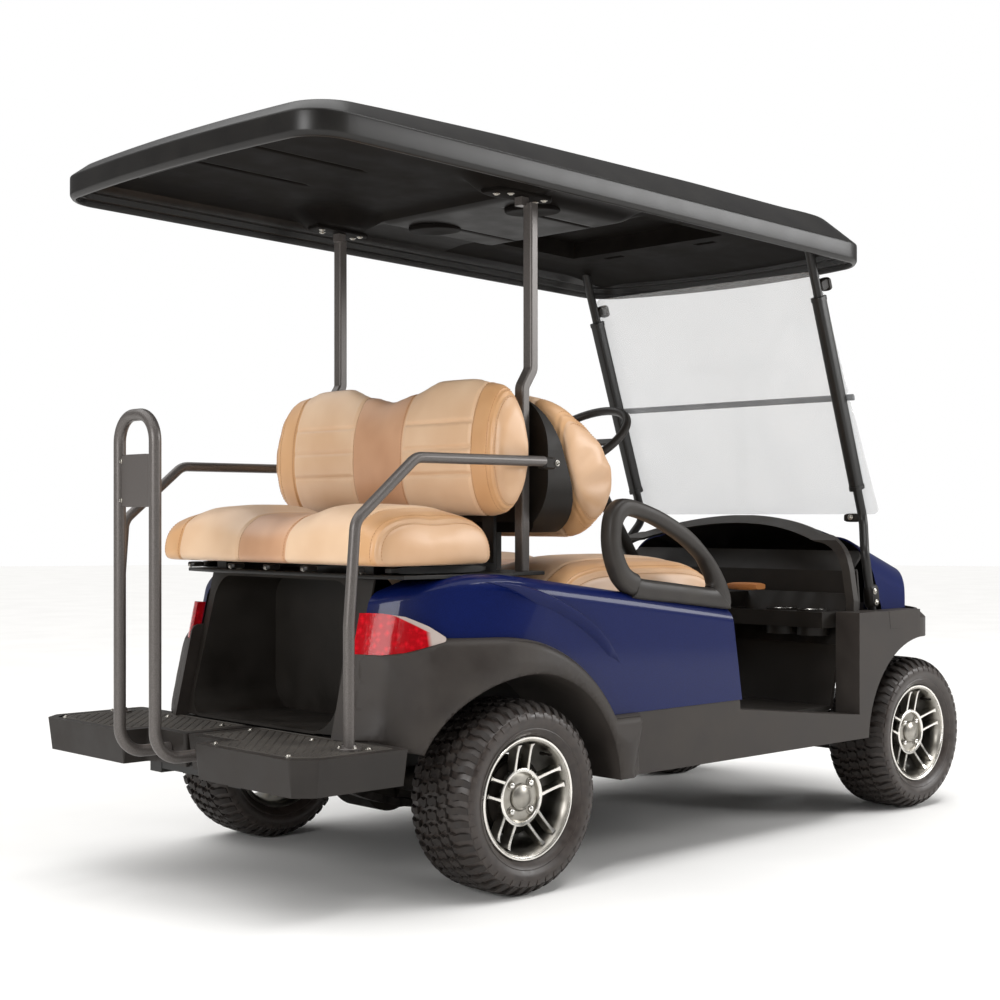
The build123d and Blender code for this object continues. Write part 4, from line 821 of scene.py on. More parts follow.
def lining_height(x, y):
    """Height of the moulded underside above the roof's lower edge."""
    a = abs(y)
    h = 63 - 10 * ease(380, 480, a) - 22 * ease(1180, 1400, x)                  # falls at the sides and front
    h += 7 * math.exp(-((a - 116) / 5) ** 2) * within(-440, -140, 18, x)        # grooves over the rear seat
    h += 6 * math.exp(-((a - 150) / 5) ** 2) * within(330, 640, 18, x)          # grooves over the front seat
    h -= 22 * within(262, 640, 60, x) * within(-1, 250, 70, a)                  # a pad that hangs between them
    h -= 40 * (1 - ease(62, 128, math.hypot((x - POD[0]) * 0.85, a - POD[1])))
    h += 46 * within(708, 1030, 7, x) * within(-1, 290, 7, a)                   # the tray recess at the front
    h += 10 * within(1090, 1104, 5, x) * within(150, 210, 8, a)                 # slots ahead of it
    return min(h, roof_top(x) - roof_edge(x) - 7)


def roof_form():
    """Crowned skin, bevel, deep rim with its lips, and the moulded underside."""
    form = Build()

    def ring(w, height):
        return [at(x, y, height(x, y) if callable(height) else roof_edge(x) + height) for x, y in roof_plan(w)]

    def crown_ring(back, drop=0.0, shrink=1.0):
        """The crown's outline at the top of the bevel, drawn back, sunk, or shrunk to the middle line."""
        row = []
        for x, y in roof_plan(0):
            w = max(roof_top(x) - roof_edge(x) - 56, 4) * 1.11 + back
            px = ROOF_MIDDLE + (x - ROOF_MIDDLE) * (1 - w / 1000)
            row.append(at(px, y * (1 - w / ROOF_HALF) * shrink, roof_top(px) - drop))
        return row
    top = [crown_ring(10, shrink=0.02), crown_ring(10, shrink=0.5), crown_ring(10, shrink=0.9),
           crown_ring(10), crown_ring(2, 1.2), crown_ring(-2, 4.5)]
    count = len(top[0])
    spine = []                  # joins the two sides of the innermost ring
    for i in range(16, 129):
        face = []
        for k in (i, i + 1, (31 - i) % count, (32 - i) % count):
            if k not in face:
                face.append(k)
        spine.append(tuple(face))
    form.add(top[0], spine)
    top += [ring(w, h) for w, h in ((2.2, 58), (0.4, 55.5), (0, 51), (0, 13), (0.8, 9.5), (6, 2.2), (9, 0.4),
                                    (13, 0), (15, 1.2), (16.5, 6), (17.5, 15))]
    form.grid(top)

    def handle(depth, lift):
        """A lip that hangs deeper where hands take hold, in the middle of the rear edge."""
        def height(x, y):
            near = 1 - ease(-560, -540, x)
            return roof_edge(x) + lift - depth * near * (1 - ease(150, 176, abs(y)))
        return height
    form.grid([ring(17.5, 15), ring(24, handle(14, 16)), ring(26, handle(14, 18)), ring(29, handle(2, 32)),
               ring(43, 35), ring(47, 45), ring(60, 57), ring(76, 60)])
    xs = sorted({round(x) for x in np.linspace(-575, 1450, 170)}
                | {700, 704, 708, 1030, 1033, 1037, 1085, 1090, 1104, 1109})
    half = [*range(0, 99, 14), 106, 110, 113, 116, 119, 122, 126, 134, 142, 146, 150, 154, 160, 172, 186, 202,
            210, 218, 234, 250, 266, 282, 290, 293, 297, *range(306, 467, 16), 478]
    ys = [-y for y in reversed(half[1:])] + half
    rows = []
    for x in xs:
        row = []
        for y in ys:
            px = min(max(x, rear_x(y, 62)), front_x(y, 62))
            row.append(at(px, y, roof_edge(px) + lining_height(px, y)))
        rows.append(row)
    satin = [i for i, x in enumerate(xs) if 236 <= x <= 668]
    first, last = satin[0], satin[-1]
    for part, mark in ((rows[:first + 1], 1), (rows[first:last + 1], 2), (rows[last:], 1)):
        form.grid(part, wrap=False, mark=mark)
    for s in (-1, 1):
        z = roof_edge(376) + lining_height(376, 194)
        disc = upright(376, s * 194, z + 4, (PLATE_FALL, 0, -1))
        form.lathe([(74, 0), (73, 9), (70, 11.5), (66, 12), (40, 10.5), (0.5, 10)], disc, 64, mark=1)
    return form


# ---------------------------------------------------------------- trim forms
def round_bends(points, radius, steps=8):
    """A line given in mm with each corner turned at about one radius; the points come back in metres."""
    pts = [Vector(p) for p in points]
    out = [at(*pts[0])]
    for a, b, c in zip(pts, pts[1:], pts[2:]):
        u, v = (a - b).normalized(), (c - b).normalized()
        angle = u.angle(v)
        reach = min(radius / math.tan(angle / 2), (a - b).length * 0.45, (c - b).length * 0.45)
        p, q = b + u * reach, b + v * reach
        for k in range(steps + 1):
            t = k / steps
            out.append(at(*(p * (1 - t) ** 2 + b * 2 * t * (1 - t) + q * t * t)))
    out.append(at(*pts[-1]))
    return out


def closed_curve(points, steps=5):
    """A closed Catmull-Rom curve through (x, z) points in mm."""
    out = []
    n = len(points)
    for i in range(n):
        a, b, c, d = (Vector(points[(i + k) % n]) for k in (-1, 0, 1, 2))
        for k in range(steps):
            t = k / steps
            p = b * 2 + (c - a) * t + (a * 2 - b * 5 + c * 4 - d) * t ** 2 + (b * 3 - a - c * 3 + d) * t ** 3
            out.append(p * 0.5)
    return out


def soft_block(form, centre, size, mark=0, turn=0.0, edge=0.28):
    """A moulded block with rounded edges; size in mm, turn in radians about the cart's width."""
    rows = []
    for k in range(7):
        v = -1 + 2 * k / 6
        draw = 1 - edge * abs(v) ** 4
        row = []
        for j in range(16):
            u, w = squared(TURN * (j + 0.5) / 16, 0.4)
            u, w = u * size[0] / 2 * draw, w * size[2] / 2 * draw
            row.append(at(centre[0] + u * math.cos(turn) - w * math.sin(turn), centre[1] + v * size[1] / 2,
                          centre[2] + u * math.sin(turn) + w * math.cos(turn)))
        rows.append(row)
    form.grid(rows, caps=True, mark=mark)


# A washer and a button head with its socket: (part of the shank's radius, height).
BOLT = ((1.5, -1), (1.5, 1.2), (1.4, 1.6), (1, 1.6), (1, 3.0), (0.8, 4.6), (0.45, 5.2), (0.42, 3.4))


def bolt(form, x, y, z, facing, radius=6.0, mark=0):
    """A button-headed bolt on a washer."""
    outline = [(radius * k, h) for k, h in BOLT] + [(0.4, 3.4)]
    form.lathe(outline, upright(x, y, z, facing), 20, mark=mark)


ARMREST_OUTER = ((372, 680), (384, 671), (560, 653), (735, 633), (750, 637), (753, 652), (744, 680), (712, 730),
                 (665, 780), (590, 838), (501, 880), (425, 905), (355, 920), (318, 912), (293, 886), (283, 845),
                 (284, 800), (296, 757), (318, 716), (345, 692))
ARMREST_INNER = ((392, 733), (405, 723), (540, 707), (662, 693), (674, 696), (676, 707), (668, 726), (652, 748),
                 (632, 770), (570, 808), (487, 845), (425, 866), (368, 877), (345, 872), (331, 855), (326, 830),
                 (328, 806), (336, 782), (352, 756), (370, 742))
ARMREST_Y, ARMREST_WIDE = 541, 45


def armrest_form(side):
    """A soft moulded loop with a rounded section that swells and thins round it."""
    form = Build()
    rows = []
    for o, i in zip(closed_curve(ARMREST_OUTER), closed_curve(ARMREST_INNER)):
        ring = []
        for k in range(16):
            u, v = squared(TURN * k / 16, 0.62)
            p = o + (i - o) * (0.5 - 0.5 * u)
            ring.append(at(p.x, side * (ARMREST_Y + ARMREST_WIDE / 2 * v), p.y))
        rows.append(ring)
    rows.append(rows[0])
    form.grid(rows)
    return form


SCREEN_LEAN = 0.3485        # how far the windscreen leans back for each mm of height
STRUT_Y = 440


def screen_x(z):
    """Middle of the windscreen strut at a height."""
    return 1520.0 - (z - 866.0) * SCREEN_LEAN


def strut_form(form, side):
    """Bent round tube with a squarer sleeve clamped over its straight run, clips and a latch."""
    y, low_y = STRUT_Y * side, 482 * side
    line = round_bends([(screen_x(1672), y, 1672), (1520, y, 866), (1466, low_y, 772), (1512, low_y, 552)], 60)
    form.bar(line, [13.5] * len(line), 20)
    lean = math.atan(SCREEN_LEAN)
    for z0, z1, wide, deep in ((962, 1508, 17, 20), (1500, 1512, 18.4, 21.4), (956, 968, 18.4, 21.4)):
        rows = []
        for z in np.linspace(z0, z1, 9):
            row = []
            for k in range(20):
                u, v = squared(TURN * (k + 0.5) / 20, 0.5)
                row.append(at(screen_x(z) + u * deep * math.cos(lean), y + v * wide,
                              z + u * deep * math.sin(lean)))
            rows.append(row)
        form.grid(rows, caps=True)
    for centre, size, turn in (((screen_x(1548) + 26, y, 1548), (44, 30, 34), lean),
                               ((screen_x(1545) + 46, y, 1552), (14, 36, 40), lean),
                               ((1528, side * 398, 872), (26, 52, 26), 0.0),
                               ((1500, low_y, 640), (44, 34, 70), 0.12)):
        soft_block(form, centre, size, 1, turn)
    for x, y, z, facing in ((1514, 398, 874, (-1, 0, 0.2)), (1492, 500, 655, (0, side, 0)),
                            (1500, 500, 622, (0, side, 0))):
        bolt(form, x, y * side, z, facing, mark=2)


def mat_outline(inset):
    """Plan of one footrest mat, drawn in from the pad's own edge."""
    x0, x1, y0, y1 = -638 + inset, -344 - inset, 4 + inset, 550 - inset
    notch_x, notch_y = -560 + inset, 150 + inset
    corners = [(x0, notch_y), (x0, y1 - 40), (x0 + 42, y1), (x1, y1), (x1, y0), (notch_x, y0),
               (notch_x, notch_y)]
    out = []
    n = len(corners)
    for i in range(n):
        a, b, c = (Vector(corners[(i + k) % n]) for k in (-1, 0, 1))
        p = b + (a - b).normalized() * min(12, (a - b).length / 2.2)
        q = b + (c - b).normalized() * min(12, (c - b).length / 2.2)
        for k in range(5):
            t = k / 4
            out.append(tuple(p * (1 - t) ** 2 + b * 2 * t * (1 - t) + q * t * t))
    return out


def inside(outline, x, y):
    """Whether a point lies within a closed outline."""
    hit = False
    for (x0, y0), (x1, y1) in zip(outline, outline[1:] + outline[:1]):
        if (y0 > y) != (y1 > y) and x < (x1 - x0) * (y - y0) / (y1 - y0) + x0:
            hit = not hit
    return hit


def mats_form():
    """Rubber mats with a raised border and rows of raised bars, staggered from row to row."""
    form = Build()
    for s in (-1, 1):
        border = ((24, 367.6), (24, 372.2), (25, 373.0), (29, 373.0), (30, 371.6))
        form.grid([[at(x, s * y, z) for x, y in mat_outline(inset)] for inset, z in border], caps=True)
        field = mat_outline(36)
        for x in np.arange(-612, -366, 13.0):
            for y in np.arange(34, 512, 29.0):
                middle_y = y + (14.5 if round((x + 612) / 13) % 2 else 0)
                y0, y1 = middle_y - 11, middle_y + 11
                if all(inside(field, px, py) for px in (x - 3, x + 3) for py in (y0, y1)):
                    rings = []
                    for grow, z in ((0.8, 371.4), (0.2, 372.8), (-0.8, 373.2)):
                        rear, front, near, far = x - 2.6 - grow, x + 2.6 + grow, y0 - grow, y1 + grow
                        rings.append([at(rear, s * near, z), at(front, s * near, z),
                                      at(front, s * far, z), at(rear, s * far, z)])
                    form.grid(rings, caps=True)
    return form


# ---------------------------------------------------------------- settings
def tint_prop(name, code, description):
    return bpy.props.FloatVectorProperty(name=name, description=description, subtype="COLOR", size=4,
                                         min=0, max=1, default=hexa(code))


def length_prop(name, value, description):
    return bpy.props.FloatProperty(name=name, description=description, default=value, min=0,
                                   unit="LENGTH", subtype="DISTANCE")


class GolfCartColours(bpy.types.PropertyGroup):
    """Colours of the painted, moulded and sewn parts."""
    paint_dark: tint_prop("Paint shade", "#081240", "Body paint in its darker flakes")
    paint_light: tint_prop("Paint flake", "#0D1B52", "Body paint in its lighter flakes")
    trim_dark: tint_prop("Trim shade", "#2F2A27", "Charcoal mouldings, darker patches")
    trim_light: tint_prop("Trim light", "#3A3531", "Charcoal mouldings, lighter patches")
    centre_dark: tint_prop("Seat centre shade", "#BC8D69", "Middle panel of each seat, darker")
    centre_light: tint_prop("Seat centre light", "#CFA17D", "Middle panel of each seat, lighter")
    insert_dark: tint_prop("Seat insert shade", "#D8B28D", "Ribbed seat inserts, darker")
    insert_light: tint_prop("Seat insert light", "#E2C19F", "Ribbed seat inserts, lighter")
    lobe_dark: tint_prop("Seat border shade", "#C99868", "Outer panels of each seat, darker")
    lobe_light: tint_prop("Seat border light", "#D8AA7B", "Outer panels of each seat, lighter")
    end_dark: tint_prop("Seat end shade", "#C99F78", "Boxed end panels of each seat, darker")
    end_light: tint_prop("Seat end light", "#D6AF8A", "Boxed end panels of each seat, lighter")


class GolfCartSizes(bpy.types.PropertyGroup):
    """Sizes of the tread, spokes, padding and stitches."""
    tread_lugs: bpy.props.IntProperty(name="Tread lugs", description="Lugs in each row of the tread",
                                      default=44, min=12, max=90)
    tread_depth: length_prop("Tread depth", 0.008, "Depth of the grooves between the lugs")
    spoke_pairs: bpy.props.IntProperty(name="Spoke pairs", description="Pairs of spokes in each wheel",
                                       default=5, min=3, max=9)
    spoke_width: length_prop("Spoke width", 0.007, "Width of a spoke's machined face")
    spoke_depth: length_prop("Spoke depth", 0.026, "Depth of a spoke behind its face")
    pad_mesh: length_prop("Pad mesh", 0.009, "Spacing of the mesh that the seat covers are simulated on")
    pad_swell: length_prop("Pad swell", 0.006, "Furthest that a seat cover may move outward")
    pad_pressure: bpy.props.FloatProperty(name="Pad pressure", description="Pressure inside each seat cover",
                                          default=4.0, min=0, max=20)
    stitch_length: length_prop("Stitch length", 0.0055, "Length of one visible stitch")


# ---------------------------------------------------------------- operators
class GOLFCART_OT_finishes(bpy.types.Operator):
    """Makes every material and gives the carried-over parts theirs."""
    bl_idname = "golfcart.finishes"
    bl_label = "Finishes"

    def execute(self, context):
        make_finishes(context.scene.golf_cart_colours)
        dress_nodes()
        return {"FINISHED"}


class GOLFCART_OT_tyres(bpy.types.Operator):
    """Builds the four lugged tyres."""
    bl_idname = "golfcart.tyres"
    bl_label = "Tyres"

    def execute(self, context):
        for corner, side in CORNERS.items():
            form = tyre_form(context.scene.golf_cart_sizes, middle("tyre_" + corner), side)
            form.make("tyre_tread_" + corner, ["Vulcanised_Rubber_Tread", "Vulcanised_Rubber_Sidewall"],
                      "tyre_rubber", body="wheel_" + corner, stands_for="tyre_" + corner)
        return {"FINISHED"}


class GOLFCART_OT_wheels(bpy.types.Operator):
    """Builds the four alloy wheels with their drums."""
    bl_idname = "golfcart.wheels"
    bl_label = "Alloy wheels"

    def execute(self, context):
        for corner, side in CORNERS.items():
            form = rim_form(context.scene.golf_cart_sizes, middle("tyre_" + corner), side)
            form.make("alloy_wheel_" + corner, ["Machined_Aluminium_Alloy", "Silver_Lacquered_Aluminium",
                                                "Cast_Iron_Running_Gear", "Chromed_Steel"],
                      "rim_alloy", body="wheel_" + corner, stands_for="rim_" + corner)
        return {"FINISHED"}


# Seams are (distance from the middle, depth, width) in mm, and threads run beside them.
BENCH_SEAMS = ((97, 5, 4), (354, 5, 4), (425, 2.6, 3), (438, 2.6, 3))
BENCH_THREADS = (420, 443, 92, 359)
BACK_SEAMS = ((100, 5, 4), (354, 5, 4), (418, 2.6, 3), (431, 2.6, 3))
BACK_THREADS = (413, 436, 95, 359)


class GOLFCART_OT_rear_seat(bpy.types.Operator):
    """Sews and pads the rear bench and its back."""
    bl_idname = "golfcart.rear_seat"
    bl_label = "Rear seat"

    def execute(self, context):
        sizes = context.scene.golf_cart_sizes
        crown = [(0, 872), (92, 880), (205, 902), (300, 899), (400, 884), (460, 872)]
        form = cushion_form(-359, 9, 762, crown, 46, 1)
        floor = at(0, 0, 772).z
        upholster("rear_bench", form, "rear_seat_cushion", lambda p: p.z < floor, sizes, BENCH_SEAMS, (),
                  BENCH_THREADS, (-170, 800), (-10, 190))
        crown = [(0, 1172), (92, 1188), (190, 1216), (290, 1215), (400, 1199), (460, 1189)]

        def section(f):
            f = min(max(f, 0), 1)
            return 116, 42 - 34 * math.sin(math.pi * min(f * 0.9 + 0.12, 1))
        form = back_form(section, crown, 877, 84, -5)
        rear = at(108, 0, 0).x
        upholster("rear_back", form, "rear_seat_back", lambda p: p.x > rear, sizes, BACK_SEAMS,
                  (1107, 1043, 978), BACK_THREADS, (70, 1040), (80, 280))
        return {"FINISHED"}


class GOLFCART_OT_front_seat(bpy.types.Operator):
    """Sews and pads the front bench and its leaning back."""
    bl_idname = "golfcart.front_seat"
    bl_label = "Front seat"

    def execute(self, context):
        sizes = context.scene.golf_cart_sizes
        crown = [(0, 744), (92, 750), (205, 772), (300, 770), (400, 757), (460, 748)]
        form = cushion_form(240, 833, 648, crown, 48, 2)
        floor = at(0, 0, 660).z
        upholster("front_bench", form, "front_seat_cushion", lambda p: p.z < floor, sizes, BENCH_SEAMS, (),
                  BENCH_THREADS, (520, 690), (-10, 190))
        crown = [(0, 1146), (92, 1162), (190, 1188), (290, 1186), (400, 1170), (460, 1160)]
        foot = 815

        def section(f):
            f = min(max(f, 0), 1)
            thick = np.interp(f, (0, 0.2, 0.44, 0.65, 0.8, 0.94, 1), (62, 128, 170, 164, 144, 104, 60))
            return 314 - 130 * f, 314 - 130 * f + float(thick)

        def against_panel(p):
            return p.x < at(326 - 130 * (p.z / MM - foot) / 373, 0, 0).x
        form = back_form(section, crown, foot, 110, 1)
        upholster("front_back", form, "front_seat_back", against_panel, sizes, BACK_SEAMS,
                  (1090, 1022, 954), BACK_THREADS, (300, 1000), (-80, 110))
        return {"FINISHED"}


class GOLFCART_OT_roof(bpy.types.Operator):
    """Moulds the roof with its rim lips, ribs, pods and recesses, and caps the posts under it."""
    bl_idname = "golfcart.roof"
    bl_label = "Roof"

    def execute(self, context):
        roof_form().make("roof_moulding", ["Thermoformed_Black_ABS", "Thermoformed_Dark_Lining",
                                           "Thermoformed_Satin_Lining"],
                         "roof_skin", smooth=32, stands_for="roof")
        form = Build()
        plate = [(70, 328), (96, 322), (236, 330), (262, 352), (262, 380), (236, 402), (110, 402), (78, 384)]
        cx, cy = (sum(p[i] for p in plate) / len(plate) for i in (0, 1))
        for s in (-1, 1):
            form.bar([at(171.5, s * 365, 1640), at(172, s * 365, 1690)], [17.5, 17.5], 4)
            z = roof_edge(POD[0]) + lining_height(*POD)
            rows = []
            for inset, h in ((3, -8.5), (0, -6), (0, 1)):
                rows.append([at(x - math.copysign(inset, x - cx), s * (y - math.copysign(inset, y - cy)),
                                z + h - PLATE_FALL * (x - POD[0])) for x, y in plate])
            form.grid(rows, caps=True, mark=1)
            for x, y in ((100, 350), (122, 378), (232, 350), (232, 382)):
                bolt(form, x, s * y, z - 7.5 - PLATE_FALL * (x - POD[0]), (0, 0, -1), mark=2)
        form.make("roof_post_plates", ["Bronze_Powder_Coated_Steel", "Thermoformed_Dark_Lining",
                                       "Zinc_Plated_Fastener"], "tube_coat", smooth=32)
        return {"FINISHED"}


class GOLFCART_OT_screen(bpy.types.Operator):
    """Builds the windscreen struts with sleeves and clips, and the hinge between the panes."""
    bl_idname = "golfcart.screen"
    bl_label = "Windscreen fittings"

    def execute(self, context):
        form = Build()
        for side in (-1, 1):
            strut_form(form, side)
        form.make("screen_struts", ["Black_Powder_Coated_Steel", "Grained_Black_Polypropylene",
                                    "Zinc_Plated_Fastener"], "tube_coat", stands_for="front_posts")
        form = Build()
        rows = []
        for y in np.linspace(-474, 474, 40):
            row = []
            for k in range(10):
                c, v = math.cos(TURN * k / 10), math.sin(TURN * k / 10)
                row.append(at(screen_x(1225) + 27 + 4.5 * c - 3 * v, y, 1226 + 9.5 * v + 1.5 * c))
            rows.append(row)
        form.grid(rows, caps=True)
        form.make("screen_hinge", ["Soft_Grey_Vinyl_Hinge"], "screen_sheet", smooth=60)
        return {"FINISHED"}


class GOLFCART_OT_armrests(bpy.types.Operator):
    """Moulds the two armrest loops."""
    bl_idname = "golfcart.armrests"
    bl_label = "Armrests"

    def execute(self, context):
        for side, name in ((-1, "right"), (1, "left")):
            rest = armrest_form(side).make("armrest_loop_" + name, ["Grained_Soft_Foam"], "charcoal_moulding",
                                           smooth=0, stands_for="armrests" if side < 0 else None)
            rest.data.polygons.foreach_set("use_smooth", [True] * len(rest.data.polygons))
        return {"FINISHED"}


def segment_gap(points, rim):
    """Distance from each point to the nearest of the (start, end) segments."""
    gap = np.full(len(points), 9.0)
    for a, b in rim:
        run = b - a
        t = np.clip((points - a) @ run / max(run @ run, 1e-12), 0, 1)
        gap = np.minimum(gap, np.linalg.norm(points - a - t[:, None] * run, axis=1))
    return gap


def swollen_skin(node, side, rise, reach):
    """A moulding's outer side as a fine skin that swells in from its edges; rise and reach in mm."""
    skin = bmesh.new()
    skin.from_mesh(NODES[node].data)
    bmesh.ops.remove_doubles(skin, verts=skin.verts, dist=1e-5)
    skin.normal_update()
    outer = {f for f in skin.faces if f.normal.y * side > 0.3 and f.calc_center_median().y * side > 0.36}
    crisp, soft = [], []
    for e in skin.edges:
        inside_it = [f for f in e.link_faces if f in outer]
        if len(inside_it) == 1 and len(e.link_faces) == 2:
            other = [f for f in e.link_faces if f not in outer][0]
            turn = inside_it[0].normal.angle(other.normal)
            (crisp if turn > 0.6 else soft).append((np.array(e.verts[0].co), np.array(e.verts[1].co)))
    bmesh.ops.delete(skin, geom=[f for f in skin.faces if f not in outer], context="FACES")
    for axis in (0, 2):
        low, high = min(v.co[axis] for v in skin.verts), max(v.co[axis] for v in skin.verts)
        for place in np.arange(low + 0.005, high, 0.012):
            point, across = Vector((0, 0, 0)), Vector((0, 0, 0))
            point[axis], across[axis] = place, 1.0
            bmesh.ops.bisect_plane(skin, geom=skin.verts[:] + skin.edges[:] + skin.faces[:], dist=1e-6,
                                   plane_co=point, plane_no=across)
    points = np.array([v.co for v in skin.verts])
    t = np.clip(segment_gap(points, crisp) / (reach * MM), 0, 1)
    grow = np.sqrt(1 - (1 - t) ** 2)
    if soft:
        t = np.clip(segment_gap(points, soft) / (reach * MM), 0, 1)
        grow = np.minimum(grow, smooth_step(t))
    for v, g in zip(skin.verts, grow):
        v.co.y += side * (0.3 + rise * g) * MM
    edge = bmesh.ops.extrude_edge_only(skin, edges=[e for e in skin.edges if e.is_boundary])
    for v in edge["geom"]:
        if isinstance(v, bmesh.types.BMVert):
            v.co.y -= side * 2.3 * MM
    bmesh.ops.recalc_face_normals(skin, faces=skin.faces[:])
    return skin


class GOLFCART_OT_fenders(bpy.types.Operator):
    """Swells the rear fenders' sides."""
    bl_idname = "golfcart.fenders"
    bl_label = "Fender skins"

    def execute(self, context):
        for side, name in ((-1, "fender_skin_right"), (1, "fender_skin_left")):
            skin = swollen_skin("rear_fenders", side, rise=12.0, reach=95.0)
            mesh = bpy.data.meshes.new(name)
            skin.to_mesh(mesh)
            skin.free()
            from_mesh(name, mesh, ["Grained_Charcoal_Polypropylene"], "charcoal_moulding", smooth=50)
        return {"FINISHED"}


FENDER_FRONT_X, FENDER_KINK_Z, FENDER_LEAN = 368, 376, 0.23
FLANK_Y, ROCKER_Y = 588.3, 562.6


def toe_form(side):
    """The fairing that runs a rear fender's leaning front edge out onto the rocker panel."""
    form = Build()
    rows = []
    for z in (240.6, 242.5, 250, 270, 295, 320, 345, 362, 370, 378, 384, 389, 392):
        start = min(FENDER_FRONT_X, FENDER_FRONT_X + (z - FENDER_KINK_Z) * FENDER_LEAN) - 3
        end = 371 + (392 - z) * 0.09
        over = max(z - 370, 0) / 22
        crest = FLANK_Y - 21 * (1 - math.sqrt(1 - min(over, 1) ** 2)) - (2.5 if z < 241 else 0)
        row = []
        for k in range(9):
            t = k / 8
            row.append(at(start + (end - start) * t, side * (crest - (crest - ROCKER_Y) * smooth_step(t)), z))
        row += [at(end, side * 557, z), at(start, side * 557, z)]
        rows.append(row)
    form.grid(rows, caps=True)
    return form


class GOLFCART_OT_covers(bpy.types.Operator):
    """Fairs the fenders' toes, covers the windscreen posts' pockets and lays the seat deck."""
    bl_idname = "golfcart.covers"
    bl_label = "Covers and deck"

    def execute(self, context):
        for side, name in ((-1, "fender_toe_right"), (1, "fender_toe_left")):
            toe_form(side).make(name, ["Grained_Charcoal_Polypropylene"], "charcoal_moulding")
        form = Build()
        for s in (-1, 1):
            form.prism([(1472.5, 600.6), (1535.5, 600.6), (1544, 547), (1482, 547)], 62, 1.5,
                       lambda u, v, w, s=s: at(u, s * (560.8 - w), v))
        form.make("post_pocket_covers", ["Grained_Charcoal_Polypropylene"], "charcoal_moulding", smooth=30)
        form = Build()
        plan = [(-291, 300), (-270, 440), (-40, 470), (40, 470), (80, 428), (196, 420), (208, 408)]
        outline = plan + [(x, -y) for x, y in reversed(plan)]
        foot, thick = 733, 9
        form.prism(outline, thick, 1.2, lambda u, v, w: at(u, v, foot + w))
        for x, y in ((-240, 250), (-240, -250), (100, 300), (100, -300)):
            bolt(form, x, y, foot + thick, (0, 0, 1), 5, 1)
        form.make("seat_deck_plate", ["Black_Powder_Coated_Steel", "Zinc_Plated_Fastener"], "frame_steel",
                  smooth=30, stands_for="seat_deck")
        return {"FINISHED"}


class GOLFCART_OT_body_trim(bpy.types.Operator):
    """Adds the side ledges and the firewall apron."""
    bl_idname = "golfcart.body_trim"
    bl_label = "Body trim"

    def execute(self, context):
        form = Build()
        ledge = ((-150, 729, -0.4), (-90, 726, 1.5), (-1, 716, 7), (124, 670, 14), (213, 619, 16),
                 (262, 578, 12), (292, 548, 5), (322, 512, -0.4))       # x, z, how far it stands out
        line = []
        for a, b in zip(ledge, ledge[1:]):
            line += [[p + (q - p) * k / 8 for p, q in zip(a, b)] for k in range(8)]
        line.append(ledge[-1])
        padded = line[:1] * 4 + line + line[-1:] * 4
        line = [np.mean(padded[i:i + 9], axis=0) for i in range(len(line))]
        for s in (-1, 1):
            rows = []
            for x, z, w in line:
                k = min(max(w / 9, 0.02), 1)
                rows.append([at(x, s * y, z + k * h) for y, h in (
                    (556, 3), (562 + w * 0.55, 1.5), (562 + w, -2), (562 + w, -5), (562 + w * 0.25, -26),
                    (556, -34))])
            form.grid(rows, caps=True)
        form.make("side_ledges", ["Metallic_Gloss_Paint"], "paint_blue", smooth=50)
        form = Build()
        fall = ((1345, 500), (1352, 530), (1366, 570), (1386, 610), (1410, 650))
        rows = []
        for y in np.linspace(-470, 470, 60):
            wave = 2.0 * math.cos(y / 470 * math.pi * 12)
            rows.append([at(x + wave, y, z) for x, z in fall] + [at(x + 5, y, z) for x, z in reversed(fall)])
        form.grid(rows, caps=True)
        form.make("firewall_apron", ["Grained_Black_Polypropylene"], "black_moulding", smooth=50)
        return {"FINISHED"}


class GOLFCART_OT_footrest(bpy.types.Operator):
    """Lays the ribbed mats and bolts the footrest to its frame."""
    bl_idname = "golfcart.footrest"
    bl_label = "Footrest mats"

    def execute(self, context):
        mats_form().make("footrest_mats", ["Ribbed_Rubber_Mat"], "black_moulding", smooth=40)
        form = Build()
        for s in (-1, 1):
            for x, y in ((-420, 60), (-420, 300), (-420, 500), (-610, 200), (-610, 470)):
                bolt(form, x, s * y, 372.6, (0, 0, 1), 5)
        form.make("footrest_bolts", ["Zinc_Plated_Fastener"], "tube_coat")
        return {"FINISHED"}


